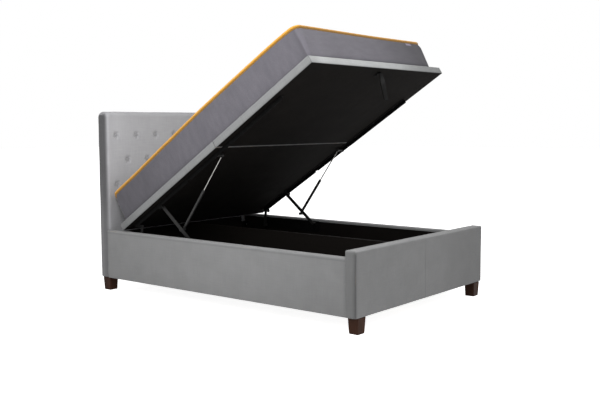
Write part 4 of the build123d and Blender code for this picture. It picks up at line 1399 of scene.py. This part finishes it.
@dataclass
class Studio:
    """Pale floor, soft lamps and the camera at the photograph's angle."""

    azimuth: float = -51.20
    elevation: float = 5.13
    distance: float = 5.768
    target: tuple[float, float, float] = (0.0176, -0.1001, 0.632)
    lens: float = 51.83
    roll: float = -0.20
    floor_glow: float = 0.92
    sky: float = 0.5
    lamps: tuple[tuple, ...] = (
        ("key", (-4.2, -1.6, 3.2), (0.0, -0.2, 0.6), 3.0, 82),
        ("head_wash", (-2.3, -0.75, 1.9), (-0.5, 1.0, 0.9), 1.0, 36),
        ("front", (0.0, -3.9, 4.2), (0.0, -0.8, 1.0), 3.0, 96),
    )

    def camera(self) -> None:
        """A camera that looks at the target from an azimuth and elevation, a little out of level."""
        data = bpy.data.cameras.new("photo_camera")
        data.lens, data.sensor_width = self.lens, 36.0
        obj = bpy.data.objects.new("photo_camera", data)
        a, e = math.radians(self.azimuth), math.radians(self.elevation)
        back = Vector((math.sin(a) * math.cos(e), -math.cos(a) * math.cos(e), math.sin(e)))
        obj.location = Vector(self.target) + back * self.distance
        tilt = Quaternion((0.0, 0.0, 1.0), math.radians(self.roll))
        obj.rotation_euler = (back.to_track_quat("Z", "Y") @ tilt).to_euler()
        bpy.context.scene.collection.objects.link(obj)
        bpy.context.scene.camera = obj

    def lamp(self, name: str, place: Place, aim: Place, size: float, watts: float) -> None:
        """A square soft lamp at a place, turned to a point."""
        data = bpy.data.lights.new(name, "AREA")
        data.shape, data.size, data.energy = "SQUARE", size, watts
        obj = bpy.data.objects.new(name, data)
        obj.location = Vector(place)
        obj.rotation_euler = (Vector(place) - Vector(aim)).to_track_quat("Z", "Y").to_euler()
        bpy.context.scene.collection.objects.link(obj)

    def ground(self) -> None:
        """A pale floor that the camera sees as white, and that keeps the bed's shadow."""
        size = 30.0
        corners = [(-size, -size, 0), (size, -size, 0), (size, size, 0), (-size, size, 0)]
        mesh = bpy.data.meshes.new("studio_floor")
        mesh.from_pydata(corners, [], [(0, 1, 2, 3)])
        obj = bpy.data.objects.new("studio_floor", mesh)
        bpy.context.scene.collection.objects.link(obj)
        r = Recipe("studio_floor")
        patch = r.noise(r.place(), scale=0.6, detail=2.0)
        rays = r.add("ShaderNodeLightPath").outputs
        mirrored = r.joined("MAXIMUM", rays["Is Glossy Ray"], rays["Is Transmission Ray"])
        seen = r.joined("MAXIMUM", rays["Is Camera Ray"], mirrored)
        r.feed(r.shader.inputs["Emission Color"], (1.0, 1.0, 1.0, 1.0))
        r.feed(r.shader.inputs["Emission Strength"], r.times(seen, self.floor_glow))
        paint = r.blend(patch, (0.84, 0.84, 0.84), (0.88, 0.88, 0.88))
        obj.data.materials.append(r.surface(paint, 0.9, {"Specular IOR Level": 0.1}))

    def world(self) -> None:
        """Soft light from all round, seen as white by the camera and in reflections."""
        world = bpy.data.worlds.new("studio")
        world.use_nodes = True
        bpy.context.scene.world = world
        tree = world.node_tree
        back = next(n for n in tree.nodes if n.type == "BACKGROUND")
        back.inputs["Color"].default_value = (1.0, 1.0, 1.0, 1.0)
        rays = tree.nodes.new("ShaderNodeLightPath")
        seen = rays.outputs["Is Transmission Ray"]
        for kind in ("Is Camera Ray", "Is Glossy Ray"):
            either = tree.nodes.new("ShaderNodeMath")
            either.operation = "MAXIMUM"
            tree.links.new(rays.outputs[kind], either.inputs[0])
            tree.links.new(seen, either.inputs[1])
            seen = either.outputs[0]
        level = tree.nodes.new("ShaderNodeMapRange")
        level.inputs["To Min"].default_value = self.sky
        level.inputs["To Max"].default_value = 1.0
        tree.links.new(seen, level.inputs["Value"])
        tree.links.new(level.outputs[0], back.inputs["Strength"])

    def build(self) -> None:
        """Sets up the studio."""
        self.camera()
        self.ground()
        self.world()
        for lamp in self.lamps:
            self.lamp(*lamp)
        bpy.context.scene.view_settings.view_transform = "Standard"


def main() -> None:
    """Builds the studio and every sub-assembly in order."""
    logging.basicConfig(level=logging.INFO, format="%(message)s")
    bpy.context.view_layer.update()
    palette = {key: finish.make() for key, finish in FINISHES.items()}
    dressed = (Headboard, BoxFrame, Platform, Mattress, Hardware)
    for part in (Studio(), *(kind(palette) for kind in dressed)):
        part.build()
        LOG.info("%s is done", type(part).__name__)


if __name__ == "__main__":
    main()
